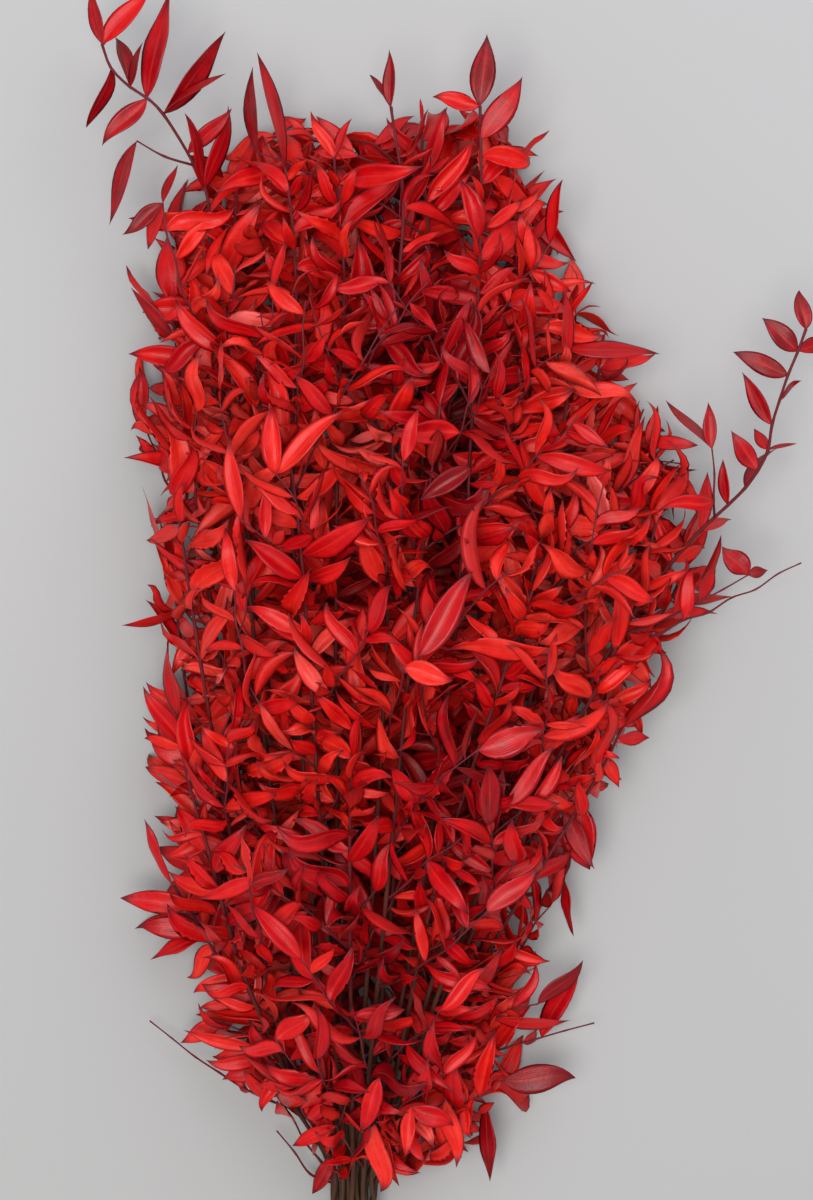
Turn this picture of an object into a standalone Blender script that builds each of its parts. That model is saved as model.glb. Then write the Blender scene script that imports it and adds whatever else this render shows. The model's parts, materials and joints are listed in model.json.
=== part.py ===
"""A bunch of dyed, dried soft ruscus, tied below the leaves and laid on its side.

Units are metres, +Z is up.  The cut stem ends point to -Y and the leafy tips
to +Y.  The origin is the middle of the underside of the box round the bunch.
"""
import itertools
import math
import random

import bmesh
import bpy
from mathutils import Vector
from mathutils.bvhtree import BVHTree
from mathutils.geometry import intersect_point_line
from mathutils.kdtree import KDTree

SEED = 30

# The layout sheet: a drawing of the bunch seen from straight above, u to the
# right and v towards the cut ends.  UNIT is the metres of one sheet unit at
# the height MID, for an eye that is EYE above that height.
UNIT = 0.00056
EYE = 2.0
MID = 0.060
SHEET_U = 406.5
SHEET_V = 600.0

TIE_U = 353.0
TIE_V = 1228.0
CUT_V = 1326.0
REST = 0.0008          # height of the surface under the bunch before the last shift
STEM_R = 0.0017        # radius of a main stem at the tie
STEM_TIP_R = 0.0009    # and where its last leaves sit
TWIG_R = 0.00075       # radius of a side twig
STEM_PITCH = 0.0047    # spacing of the stems inside the tie
BAND_W = 0.008
BAND_T = 0.0012
GAP = 0.0005

INTERNODE = 0.0155
LEAF_WIDE_AT = 0.42    # where along its length a leaf is widest
LEAF_T = 0.0013

# v, left edge, right edge (sheet units) and height (mm) of the leafy mass.
OUTLINE = (
    (106, 300, 500, 70), (150, 222, 530, 84), (200, 172, 556, 98),
    (250, 160, 556, 110), (300, 142, 584, 122), (350, 140, 622, 132),
    (400, 142, 646, 140), (450, 144, 676, 146), (500, 158, 704, 148),
    (550, 152, 720, 148), (600, 156, 700, 148), (650, 184, 668, 148),
    (700, 154, 648, 146), (750, 150, 634, 144), (800, 160, 596, 140),
    (850, 150, 576, 134), (900, 150, 538, 128), (950, 188, 536, 122),
    (1000, 190, 530, 116), (1050, 212, 522, 108), (1080, 250, 512, 102),
    (1100, 276, 494, 96), (1130, 296, 478, 86), (1152, 314, 462, 76),
    (1180, 332, 404, 60),
)
EDGE_H = 26.0

# Main stems from just above the tie to the tip: u, v, height in mm.
STEMS = {
    "sprig_01": ((318, 1080, 32), (286, 900, 62), (260, 700, 78), (240, 480, 78),
                 (222, 330, 64), (211, 250, 57), (209, 216, 56), (205, 188, 58),
                 (186, 150, 62), (163, 114, 65), (147, 98, 66), (130, 87, 66),
                 (111, 68, 65), (102, 44, 64)),
    "sprig_02": ((330, 1080, 42), (312, 900, 73), (300, 700, 96), (292, 480, 96),
                 (296, 320, 89), (293, 230, 80), (285, 168, 73)),
    "sprig_03": ((343, 1080, 32), (338, 900, 57), (336, 650, 84), (338, 420, 85),
                 (344, 280, 78), (334, 158, 66)),
    "sprig_04": ((360, 1080, 46), (372, 900, 80), (384, 700, 99), (392, 480, 97),
                 (398, 300, 89), (403, 200, 76), (391, 107, 66)),
    "sprig_05": ((372, 1080, 30), (392, 900, 51), (410, 650, 64), (425, 420, 66),
                 (429, 260, 62), (423, 162, 58), (421, 122, 56)),
    "sprig_06": ((385, 1080, 42), (420, 900, 69), (448, 700, 90), (468, 480, 90),
                 (478, 300, 83), (481, 180, 74), (480, 106, 69)),
    "sprig_07": ((393, 1080, 26), (440, 900, 40), (480, 700, 50), (508, 480, 50),
                 (519, 320, 48), (509, 168, 46)),
    "sprig_08": ((402, 1080, 44), (455, 900, 70), (505, 700, 90), (545, 520, 87),
                 (567, 400, 77), (564, 330, 69)),
    "sprig_09": ((412, 1080, 30), (476, 900, 46), (530, 700, 58), (572, 520, 58),
                 (592, 432, 54), (599, 370, 50)),
    "sprig_10": ((408, 1080, 54), (462, 930, 78), (536, 780, 84), (598, 670, 76),
                 (640, 604, 66), (672, 562, 60), (700, 531, 60), (728, 505, 63),
                 (745, 488, 66), (758, 470, 69), (768, 450, 71), (772, 425, 73),
                 (780, 399, 75), (788, 375, 76), (798, 351, 77), (806, 329, 78)),
    "sprig_11": ((421, 1080, 21), (490, 930, 26), (560, 780, 34), (620, 680, 38),
                 (664, 610, 38), (688, 566, 38)),
    "sprig_12": ((428, 1080, 36), (490, 950, 52), (552, 850, 70), (600, 772, 64),
                 (622, 728, 56)),
    "sprig_13": ((434, 1090, 20), (484, 1000, 22), (532, 920, 26), (566, 862, 30)),
    "sprig_14": ((308, 1080, 22), (262, 900, 35), (226, 700, 48), (196, 500, 50),
                 (180, 380, 46), (172, 306, 42)),
    "sprig_15": ((300, 1080, 38), (245, 900, 59), (207, 700, 76), (182, 540, 72),
                 (172, 452, 64)),
    "sprig_16": ((296, 1085, 20), (240, 930, 24), (202, 780, 30), (182, 660, 32),
                 (176, 596, 32)),
    "sprig_17": ((292, 1085, 45), (242, 970, 65), (208, 850, 79), (186, 770, 72),
                 (178, 716, 64)),
    "sprig_18": ((288, 1095, 28), (245, 1010, 35), (204, 934, 37), (174, 886, 33)),
    "sprig_19": ((338, 1080, 51), (325, 900, 88), (312, 700, 107), (300, 540, 107),
                 (288, 446, 105)),
    "sprig_20": ((368, 1080, 54), (386, 900, 92), (406, 700, 108), (426, 520, 108),
                 (440, 406, 105)),
    "sprig_21": ((394, 1080, 52), (425, 930, 87), (462, 800, 106), (502, 680, 107),
                 (532, 592, 105)),
    "sprig_22": ((352, 1080, 57), (350, 950, 92), (350, 820, 108), (354, 704, 110)),
    "sprig_23": ((314, 1080, 26), (284, 900, 44), (262, 700, 58), (244, 480, 62),
                 (234, 330, 60), (236, 196, 52)),
    "sprig_24": ((416, 1080, 39), (474, 930, 62), (546, 780, 82), (606, 670, 80),
                 (640, 584, 72), (656, 524, 64)),
}

# Leaves drawn one by one on a stem's last stretch: stem, u, v and height of
# the foot, then u, v and width (all sheet units) of the blade, and its rise.
DRAWN_ON_STEM = (
    ("sprig_01", 102, 44, ((91, -14, 12, 0), (151, -12, 18, 4), (83, 10, 6, -4))),
    ("sprig_01", 111, 68, ((86, 128, 9, -8),)),
    ("sprig_01", 130, 87, ((143, 42, 8, 6), (114, 41, 14, -6))),
    ("sprig_01", 147, 98, ((170, -9, 20, 6), (102, 146, 17, -4))),
    ("sprig_01", 163, 114, ((226, 31, 15, -6), (222, 82, 13, 2))),
    ("sprig_01", 205, 188, ((182, 112, 11, 16), (228, 105, 13, -4))),
    ("sprig_01", 209, 216, ((268, 160, 12, 3),)),
    ("sprig_01", 213, 256, ((178, 286, 14, 6),)),
    ("sprig_02", 285, 168, ((257, 52, 11, 2),)),
    ("sprig_03", 334, 158, ((312, 115, 13, 0), (352, 118, 10, -6))),
    ("sprig_04", 391, 107, ((389, 49, 13, 2), (366, 71, 8, -3))),
    ("sprig_05", 423, 162, ((386, 118, 14, 2),)),
    ("sprig_05", 421, 122, ((420, 98, 4, 0),)),
    ("sprig_06", 480, 106, ((487, 34, 26, 2), (432, 97, 18, -2))),
    ("sprig_06", 481, 142, ((523, 75, 25, -3),)),
    ("sprig_07", 509, 168, ((550, 130, 6, 0), (545, 233, 22, -6))),
    ("sprig_08", 564, 330, ((593, 281, 7, 0),)),
    ("sprig_08", 567, 366, ((560, 288, 15, 6),)),
    ("sprig_09", 599, 370, ((657, 353, 12, 0), (633, 379, 14, -4), (606, 330, 7, 4))),
    ("sprig_10", 806, 329, ((799, 290, 14, 0),)),
    ("sprig_10", 798, 351, ((762, 318, 18, 3), (832, 338, 16, -2))),
    ("sprig_10", 788, 375, ((733, 352, 17, 0),)),
    ("sprig_10", 780, 399, ((799, 384, 7, 2),)),
    ("sprig_10", 772, 425, ((742, 372, 13, 3),)),
    ("sprig_10", 768, 450, ((757, 421, 14, 0), (796, 443, 4, -3))),
    ("sprig_10", 758, 470, ((731, 430, 17, 2),)),
    ("sprig_10", 745, 488, ((770, 449, 9, -3),)),
    ("sprig_10", 728, 505, ((723, 459, 9, 3),)),
    ("sprig_10", 700, 531, ((707, 472, 15, -4), (733, 523, 11, -2))),
    ("sprig_10", 672, 562, ((709, 546, 15, -14), (653, 512, 14, 3))),
)

# Leaves drawn one by one on side twigs: where the twig ends (u, v, height in
# mm), the blades there (tip u, v, width, rise) and how much of the twig's end
# stays bare, in sheet units.
DRAWN_TWIGS = (
    ((712, 449, 88), ((708, 402, 12, 0), (670, 396, 12, -3)), 0, "sprig_10"),
    ((163, 203, 66), ((122, 235, 14, -3), (147, 251, 14, -14), (178, 164, 8, 2)), 0, "sprig_01"),
    ((229, 226, 62), ((204, 280, 14, 6),), 0, ""),
    ((262, 152, 68), ((253, 66, 12, 2),), 0, ""),
    ((137, 141, 62), ((109, 226, 15, -5),), 0, "sprig_01"),
    ((640, 498, 74), ((658, 455, 17, 2),), 0, ""),
    ((650, 514, 64), ((682, 468, 12, 0),), 0, ""),
    ((550, 244, 56), ((563, 179, 11, 0),), 0, ""),
    ((594, 440, 60), ((625, 396, 9, 2),), 0, ""),
    ((205, 308, 40), ((142, 312, 26, -3),), 0, ""),
    ((168, 322, 30), ((126, 265, 6, 0),), 0, ""),
    ((200, 356, 46), ((128, 354, 22, -4),), 0, ""),
    ((190, 456, 50), ((170, 380, 16, 0),), 0, ""),
    ((200, 472, 36), ((127, 463, 22, -3),), 0, ""),
    ((176, 576, 28), ((142, 486, 8, -2),), 0, ""),
    ((188, 590, 40), ((158, 514, 14, -2),), 0, ""),
    ((186, 609, 38), ((154, 546, 16, 2), (123, 618, 11, -6)), 0, ""),
    ((200, 726, 44), ((146, 682, 22, -2),), 0, ""),
    ((196, 744, 34), ((142, 716, 13, -4),), 0, ""),
    ((205, 771, 56), ((150, 737, 24, -4),), 0, ""),
    ((203, 816, 30), ((155, 782, 14, -3),), 0, ""),
    ((214, 874, 44), ((168, 818, 17, 2), (155, 848, 28, -4)), 0, ""),
    ((192, 905, 40), ((120, 898, 20, -6),), 0, ""),
    ((198, 924, 26), ((128, 922, 16, -8),), 0, ""),
    ((252, 1000, 46), ((202, 984, 24, -3),), 0, ""),
    ((222, 1022, 30), ((180, 1043, 16, -4),), 0, ""),
    ((150, 1021, 12), (), 60, ""),
    ((255, 1050, 36), ((213, 1059, 14, -5),), 0, ""),
    ((300, 1086, 58), ((254, 1083, 13, -8),), 0, ""),
    ((277, 1131, 14), (), 40, ""),
    ((336, 1126, 56), ((292, 1146, 16, -12),), 0, ""),
    ((376, 1124, 66), ((380, 1192, 22, -22), (399, 1184, 12, -24)), 0, ""),
    ((350, 1112, 68), ((352, 1172, 18, -20),), 0, ""),
    ((412, 1106, 70), ((404, 1152, 20, -16), (454, 1126, 22, -6)), 0, ""),
    ((322, 1094, 66), ((302, 1122, 14, -8), (330, 1148, 16, -14)), 0, ""),
    ((372, 1084, 82), ((360, 1132, 20, -10),), 0, ""),
    ((446, 1100, 54), ((456, 1168, 20, -10),), 0, ""),
    ((486, 1106, 30), ((490, 1182, 14, -6),), 0, ""),
    ((504, 1080, 40), ((576, 1078, 25, -4),), 0, ""),
    ((538, 1004, 40), ((583, 960, 14, 0),), 0, ""),
    ((502, 948, 52), ((552, 960, 13, -4),), 0, ""),
    ((594, 1023, 16), (), 56, ""),
    ((571, 800, 40), ((590, 870, 32, -8),), 0, ""),
    ((562, 880, 28), ((574, 937, 7, -6),), 0, ""),
    ((603, 755, 46), ((619, 788, 13, -5),), 0, ""),
    ((612, 707, 50), ((651, 678, 16, 2), (637, 726, 18, -3)), 0, ""),
    ((632, 640, 46), ((656, 678, 8, -3), (674, 626, 12, 2)), 0, ""),
    ((672, 600, 34), ((718, 614, 6, -3),), 0, ""),
    ((748, 575, 60), ((722, 546, 20, 3), (768, 570, 10, -2)), 30, "sprig_10"),
    ((801, 563, 58), (), 50, "sprig_10"),
    ((276, 474, 138), ((271, 405, 20, 6), (346, 411, 20, 6)), 0, ""),
    ((241, 520, 122), ((229, 438, 18, 4),), 0, ""),
    ((419, 656, 148), ((473, 571, 28, 4),), 0, ""),
    ((549, 648, 130), ((443, 652, 20, 8),), 0, ""),
    ((478, 750, 138), ((546, 730, 30, 2),), 0, ""),
    ((404, 668, 148), ((454, 680, 22, 2),), 0, ""),
    ((487, 912, 118), ((537, 868, 23, 0),), 0, ""),
    ((440, 1010, 100), ((489, 967, 17, 2),), 0, ""),
    ((276, 1040, 84), ((316, 1010, 22, 6),), 0, ""),
    ((355, 1016, 104), ((406, 1008, 14, 4),), 0, ""),
    ((470, 468, 140), ((420, 500, 20, 4),), 0, ""),
)

# Deep places between the sprigs: u, v, half widths, and height of the floor in mm.
HOLLOWS = (
    (362, 126, 32, 34, 0), (385, 345, 22, 24, 66), (465, 430, 22, 58, 66), (452, 548, 15, 34, 72),
    (376, 1060, 28, 25, 30), (384, 895, 24, 26, 44), (416, 750, 19, 20, 70),
    (345, 580, 15, 20, 82), (402, 216, 28, 34, 54), (225, 800, 15, 38, 44),
    (372, 992, 26, 18, 44), (434, 985, 13, 26, 44), (520, 500, 14, 18, 66),
)

TWIG_LEAVES = 1030     # blades placed before the second ones at a node
LEAF_TOTAL = 1290
LEAVES_PER_SPRIG = 70


def at(u, v, mm):
    """A point of the sheet at a height in mm, in metres."""
    z = mm / 1000
    k = UNIT * (EYE + MID - z) / EYE
    return Vector(((u - SHEET_U) * k, (SHEET_V - v) * k, z))


def on_sheet(p):
    k = UNIT * (EYE + MID - p.z) / EYE
    return p.x / k + SHEET_U, SHEET_V - p.y / k


def outline(v):
    """Left edge, right edge and height of the leafy mass at v, or None."""
    if v < OUTLINE[0][0] or v > OUTLINE[-1][0]:
        return None
    for low, high in zip(OUTLINE, OUTLINE[1:]):
        if v <= high[0]:
            t = (v - low[0]) / (high[0] - low[0])
            return [low[i] + (high[i] - low[i]) * t for i in (1, 2, 3)]
    return None


def roof(u, v, spare=0.0):
    """Height in mm of the leafy mass over a point of the sheet, or None."""
    edges = outline(v)
    if edges is None:
        return None
    middle, half = (edges[0] + edges[1]) / 2, (edges[1] - edges[0]) / 2 + spare
    s = abs(u - middle) / half
    if s >= 1:
        return None
    return EDGE_H + (edges[2] - EDGE_H) * (1 - s**2.6) ** 0.55


def inside(p, spare=6.0, lift=5.0):
    u, v = on_sheet(p)
    top = roof(u, v, spare)
    return top is not None and -0.0005 <= p.z <= (top + lift) / 1000


def hollow(p):
    """Whether a point is in one of the deep places."""
    u, v = on_sheet(p)
    return any(
        p.z * 1000 > floor and ((u - cu) / wu) ** 2 + ((v - cv) / wv) ** 2 < 1
        for cu, cv, wu, wv, floor in HOLLOWS
    )


def spline(points, step, lead=None):
    """A smooth curve through the points, sampled about every step."""
    lead = points[0] * 2 - points[1] if lead is None else lead
    line = [lead, *points, points[-1] * 2 - points[-2]]
    out = [points[0].copy()]
    for a, b, c, d in zip(line, line[1:], line[2:], line[3:]):
        n = max(1, round((c - b).length / step))
        for k in range(1, n + 1):
            t = k / n
            out.append(
                0.5 * ((2 * b) + (c - a) * t + (2 * a - 5 * b + 4 * c - d) * t * t
                       + (3 * b - a - 3 * c + d) * t**3)
            )
    return out


def square_to(v, axis):
    """v less its part along axis, as a unit vector."""
    w = v - axis * v.dot(axis)
    if w.length < 1e-6:
        w = axis.orthogonal()
    return w.normalized()


class Room:
    """Solids placed so far, so that a new one can be kept clear of them."""

    CELL = 0.025

    def __init__(self):
        self.cells = {}
        self.items = []

    def keys(self, low, high):
        ranges = [
            range(math.floor(low[i] / self.CELL), math.floor(high[i] / self.CELL) + 1)
            for i in range(3)
        ]
        return [(i, j, k) for i in ranges[0] for j in ranges[1] for k in ranges[2]]

    @staticmethod
    def box(points):
        return (
            [min(p[i] for p in points) for i in range(3)],
            [max(p[i] for p in points) for i in range(3)],
        )

    def free(self, shape, skip=(), only=None):
        points, faces = shape
        low, high = self.box(points)
        tree = None
        seen = set()
        for key in self.keys(low, high):
            for index in self.cells.get(key, ()):
                if index in seen:
                    continue
                seen.add(index)
                tag, lo, hi, other = self.items[index]
                if tag in skip or (only is not None and tag not in only):
                    continue
                if any(lo[i] > high[i] or hi[i] < low[i] for i in range(3)):
                    continue
                if tree is None:
                    tree = BVHTree.FromPolygons(points, faces)
                if tree.overlap(other):
                    return False
        return True

    def put(self, tag, shape):
        points, faces = shape
        low, high = self.box(points)
        index = len(self.items)
        self.items.append((tag, low, high, BVHTree.FromPolygons(points, faces)))
        for key in self.keys(low, high):
            self.cells.setdefault(key, []).append(index)


def rod(a, b, radius, sides=4):
    """A closed prism round the line from a to b."""
    t = (b - a).normalized()
    x = square_to(Vector((0.3, 0.2, 0.9)), t)
    y = t.cross(x)
    ring = [
        x * (radius * math.cos(math.tau * k / sides))
        + y * (radius * math.sin(math.tau * k / sides))
        for k in range(sides)
    ]
    points = [a + w for w in ring] + [b + w for w in ring]
    faces = [(k, (k + 1) % sides, (k + 1) % sides + sides, k + sides) for k in range(sides)]
    faces += [tuple(range(sides))[::-1], tuple(range(sides, 2 * sides))]
    return points, faces


class Leaf:
    """One flattened, pointed blade on its short stalk."""

    def __init__(self, foot, tip, normal, width, arch, seed):
        self.foot = foot.copy()
        self.tip = tip.copy()
        self.length = (tip - foot).length
        self.d = (tip - foot).normalized()
        self.n = square_to(normal, self.d)
        self.s = self.d.cross(self.n)
        self.width = width
        self.arch = arch
        self.seed = seed
        self.drawn = False

    def spine(self, t):
        return (
            self.foot + self.d * (self.length * t)
            + self.n * (self.arch * self.length * 4 * t * (1 - t))
        )

    def sleeve(self, begin, spare):
        """The leaf from begin along its length, a little larger all round."""
        c = self.spine(LEAF_WIDE_AT)
        half = self.width / 2 + spare
        share = begin / LEAF_WIDE_AT
        root = self.foot.lerp(c, share)
        near = 0.0012 + spare * 0.3 + (half - 0.0012) * share
        thick = 0.0012 + spare * 0.3
        edge = self.n * (0.4 * LEAF_T)
        points = [
            root + self.s * near + edge * share,
            root - self.n * thick,
            root - self.s * near + edge * share,
            root + self.n * thick,
            c + self.s * half + edge,
            c - self.n * (0.6 * LEAF_T + spare * 1.1),
            c - self.s * half + edge,
            c + self.n * (0.4 * LEAF_T + spare * 1.1),
            self.tip + self.d * (spare * 1.3),
        ]
        faces = [(2, 1, 0), (3, 2, 0)]
        for i in range(4):
            j = (i + 1) % 4
            faces += [(i, j, j + 4), (i, j + 4, i + 4), (i + 4, j + 4, 8)]
        return points, faces

    def shape(self):
        """What keeps other pieces away from the leaf."""
        return self.sleeve(0.03, 0.0008)

    def blade(self):
        """The leaf without its stalk end, for keeping it off its own twig."""
        return self.sleeve(0.13, 0.0005)

    def corners(self):
        c = self.spine(LEAF_WIDE_AT)
        return [c + self.s * (self.width / 2), c - self.s * (self.width / 2),
                c - self.n * (LEAF_T * 0.6), self.tip]


class Twig:
    """A row of nodes; leaves and side twigs hang on node numbers."""

    def __init__(self, tag, nodes, radii, parent=None):
        self.tag = tag
        self.nodes = nodes
        self.radii = radii
        self.parent = parent          # (twig, node number)
        self.leaves = {}              # node number: [Leaf, ...]
        self.twigs = {}               # node number: [Twig, ...]

    def aim(self, k):
        a = self.nodes[max(0, k - 1)]
        b = self.nodes[min(len(self.nodes) - 1, k + 1)]
        return (b - a).normalized()


class Bunch:
    def __init__(self):
        self.rng = random.Random(SEED)
        self.room = Room()
        self.stems = {}
        self.heat = {}
        self.count = 0
        self.per = {}
        self.notes = []

    # ---- density of the blades, in cells of the bunch --------------------
    HEAT = 0.022

    def cell(self, p):
        return tuple(math.floor(p[i] / self.HEAT) for i in range(3))

    def warm(self, leaf, sign=1.0):
        area = leaf.length * leaf.width * 0.62 * 1e6
        for t, part in ((0.2, 0.25), (0.5, 0.5), (0.8, 0.25)):
            key = self.cell(leaf.spine(t))
            self.heat[key] = self.heat.get(key, 0.0) + area * part * sign

    def heat_at(self, p):
        i, j, k = self.cell(p)
        total = 0.0
        for di in (-1, 0, 1):
            for dj in (-1, 0, 1):
                for dk in (-1, 0, 1):
                    far = abs(di) + abs(dj) + abs(dk)
                    total += self.heat.get((i + di, j + dj, k + dk), 0.0) / (1 + far)
        return total

    @staticmethod
    def crown(v):
        """Less than 1 where more blades are wanted: at the tips and over the neck."""
        value = 0.42 + 0.73 * min(1.0, max(0.0, (v - 140) / 700.0))
        return value - 0.62 * min(1.0, max(0.0, (v - 930) / 140.0))

    # ---- main stems ------------------------------------------------------
    def lay_stems(self):
        names = sorted(STEMS)
        spots = []
        for row in range(-3, 4):
            for col in range(-3, 4):
                x = (col + 0.5 * (row % 2)) * STEM_PITCH
                z = row * STEM_PITCH * 0.866
                spots.append((math.hypot(x, z * 1.04), x, z))
        spots = [(x, z) for _, x, z in sorted(spots)[: len(names)]]
        low = min(z for _, z in spots)
        lift = BAND_T + GAP + 0.0021 + REST - low
        middle = at(TIE_U, TIE_V, 15).x
        wants = []
        for name in names:
            first, second = STEMS[name][0], STEMS[name][1]
            wants.append(((first[0] * 0.6 + second[0] * 0.4 - 352) * 0.06 * 0.001,
                          (first[2] * 0.6 + second[2] * 0.4 - 60) * 0.22 * 0.001))
        order = list(range(len(names)))

        def cost(i, j):
            return (wants[i][0] - spots[j][0]) ** 2 + (wants[i][1] - spots[j][1]) ** 2

        changed = True
        while changed:
            changed = False
            for a in range(len(order)):
                for b in range(a + 1, len(order)):
                    if (cost(a, order[b]) + cost(b, order[a])
                            < cost(a, order[a]) + cost(b, order[b]) - 1e-12):
                        order[a], order[b] = order[b], order[a]
                        changed = True
        tie_y = at(TIE_U, TIE_V, 15).y
        self.tie = (middle, tie_y, [(middle + x, lift + z) for x, z in spots])
        lines, held = {}, {}
        for i, name in enumerate(names):
            x, z = spots[order[i]]
            spread = 1.0 + self.rng.uniform(0.1, 0.28)
            cut_y = at(TIE_U, CUT_V + self.rng.uniform(-12, 9), 15).y
            z_cut = REST + 0.0015 + (lift + z - low - lift) * spread
            cut = Vector((middle + x * spread, cut_y, z_cut))
            below = Vector((middle + x, tie_y - 0.006, lift + z))
            above = Vector((middle + x, tie_y + 0.006, lift + z))
            first = STEMS[name][0]
            near = at(352 + (first[0] - 352) * 0.27, 1172, (lift + z) * 1000 * 0.75 + first[2] * 0.25)
            marks = [at(*w) for w in STEMS[name]]
            steps = max(2, round((below - cut).length / 0.005))
            line = [cut.lerp(below, i / steps) for i in range(steps)] + [below]
            held[name] = len(line)
            line += spline([above, near] + marks, 0.005,
                           above - Vector((0, (near - above).length, 0)))
            lines[name] = line
        radii = {}
        for name, line in lines.items():
            total = len(line) - 1
            radii[name] = [
                STEM_R + (STEM_TIP_R - STEM_R)
                * min(1.0, max(0.0, (k / total - 0.1) / 0.85)) ** 1.2
                for k in range(total + 1)
            ]
        self.ease_apart(lines, radii, held)
        for name, line in lines.items():
            twig = Twig(name, line, radii[name], None)
            twig.slots = set()
            total = len(line) - 1
            for k in range(0, total, 2):
                stop = min(total, k + 2)
                self.room.put((name, k), rod(line[k], line[stop],
                                             twig.radii[k] * 1.25 + 0.0008, 6))
            self.stems[name] = twig

    def ease_apart(self, lines, radii, held):
        """Push the stems off one another above the tie, a little at a time."""
        names = sorted(lines)
        for turn in range(90):
            owner = [(name, k) for name in names for k in range(len(lines[name]))]
            tree = KDTree(len(owner))
            for index, (name, k) in enumerate(owner):
                tree.insert(lines[name][k], index)
            tree.balance()
            worst, where = 0.0, None
            moves = {}
            for name in names:
                line = lines[name]
                push = [Vector((0, 0, 0)) for _ in line]
                for k in range(held[name], len(line)):
                    p = line[k]
                    closest = {}
                    for _, index, _ in tree.find_range(p, 0.0085):
                        other, j = owner[index]
                        if other == name:
                            continue
                        there = lines[other]
                        for a, b in ((j - 1, j), (j, j + 1)):
                            if a < 0 or b >= len(there):
                                continue
                            q, f = intersect_point_line(p, there[a], there[b])
                            q = there[a].lerp(there[b], min(1.0, max(0.0, f)))
                            gap = (p - q).length
                            if gap < closest.get(other, (1.0,))[0]:
                                closest[other] = (gap, q, j)
                    for other, (gap, q, j) in closest.items():
                        need = 1.25 * (radii[name][k] + radii[other][j]) + 0.0009
                        if k < held[name] + 8:
                            need = min(need, STEM_PITCH)
                        if gap < need:
                            if need - gap > worst:
                                worst, where = need - gap, (name, k, other, j, on_sheet(p))
                            away = (p - q) if gap > 1e-5 else Vector((0, 0, 1))
                            push[k] += away.normalized() * (need - gap) * 0.6
                moves[name] = push
            if worst < 0.0001:
                break
            for name in names:
                line, push = lines[name], moves[name]
                for k in range(held[name] + 1, len(line)):
                    total, weight = Vector((0, 0, 0)), 0.0
                    for step, part in ((-3, 1), (-2, 2), (-1, 3), (0, 4), (1, 3), (2, 2), (3, 1)):
                        if held[name] <= k + step < len(line):
                            total += push[k + step] * part
                            weight += part
                    ramp = min(1.0, (k - held[name]) / 3)
                    line[k] = line[k] + total * (2.0 / weight) * ramp
                    line[k].z = max(line[k].z, REST + 0.0024)
        if worst > 0.0004:
            self.notes.append("stems %.2f mm too close %s" % (worst * 1000, where))

    @staticmethod
    def near(twig, p):
        return min(range(len(twig.nodes)), key=lambda k: (twig.nodes[k] - p).length_squared)

    def stem_skip(self, name, k, reach=3):
        k0 = k - k % 2
        return {(name, k0 + 2 * i) for i in range(-reach, reach + 1)}

    # ---- leaves ----------------------------------------------------------
    def outward(self, p):
        """The way out of the bunch at a point: mostly up, sideways at the rim."""
        u, v = on_sheet(p)
        edges = outline(min(max(v, OUTLINE[0][0]), OUTLINE[-1][0]))
        s = (u - (edges[0] + edges[1]) / 2) / max(30.0, (edges[1] - edges[0]) / 2)
        w = Vector((s * 0.9, 0.12, 0.9 if p.z > 0.03 else 0.55))
        return w.normalized()

    def add_leaf(self, twig, k, leaf, skip, name, drawn=False):
        if any(p.z < REST - 1e-6 for p in leaf.corners()):
            return False
        if not drawn:
            spare = 5 + 16 * leaf.seed**3
            if not all(inside(p, spare, 7) for p in leaf.corners()[:2] + [leaf.tip]):
                return False
            if hollow(leaf.spine(0.5)) or hollow(leaf.tip):
                return False
        if any(leaf.d.dot(other.d) > 0.76 for other in twig.leaves.get(k, ())):
            return False
        mates = ("leaf", twig.tag, k)
        if not self.room.free(leaf.shape(), set(skip) | {mates}):
            return False
        if not self.room.free(leaf.blade(), (), set(skip) | {mates}):
            return False
        self.count += 1
        leaf.drawn = drawn
        self.room.put(mates, leaf.shape())
        twig.leaves.setdefault(k, []).append(leaf)
        self.warm(leaf)
        self.per[name] = self.per.get(name, 0) + 1
        return True

    def drawn_leaf(self, foot, mark, z):
        """The blade from a foot to a drawn tip, rolled so that it shows its drawn width."""
        u, v, wide, rise = mark
        tip = at(u, v, max(1.5, z * 1000 + rise))
        length = (tip - foot).length
        shown = wide * UNIT
        real = max(shown, min(0.0145, length * 0.25))
        roll = math.acos(min(1.0, shown / real))
        d = (tip - foot).normalized()
        up = square_to(Vector((0, 0, 1)), d)
        side = d.cross(up)
        n = up * math.cos(roll) + side * math.sin(roll) * self.rng.choice((-1, 1))
        return Leaf(foot, tip, n, real, self.rng.uniform(0.0, 0.05), self.rng.random())

    def try_drawn(self, twig, k, mark, skip, name):
        foot = twig.nodes[k]
        for turn in range(110):
            w = turn / 109
            jog = (
                mark[0] + self.rng.uniform(-9, 9) * w,
                mark[1] + self.rng.uniform(-9, 9) * w,
                mark[2] * (1 - 0.3 * w),
                mark[3] + self.rng.uniform(-28, 28) * w,
            )
            leaf = self.drawn_leaf(foot, jog, foot.z)
            if self.add_leaf(twig, k, leaf, skip, name, True):
                return True
        self.notes.append("drawn leaf %s to %s,%s left out" % (name, mark[0], mark[1]))
        return False

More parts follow.
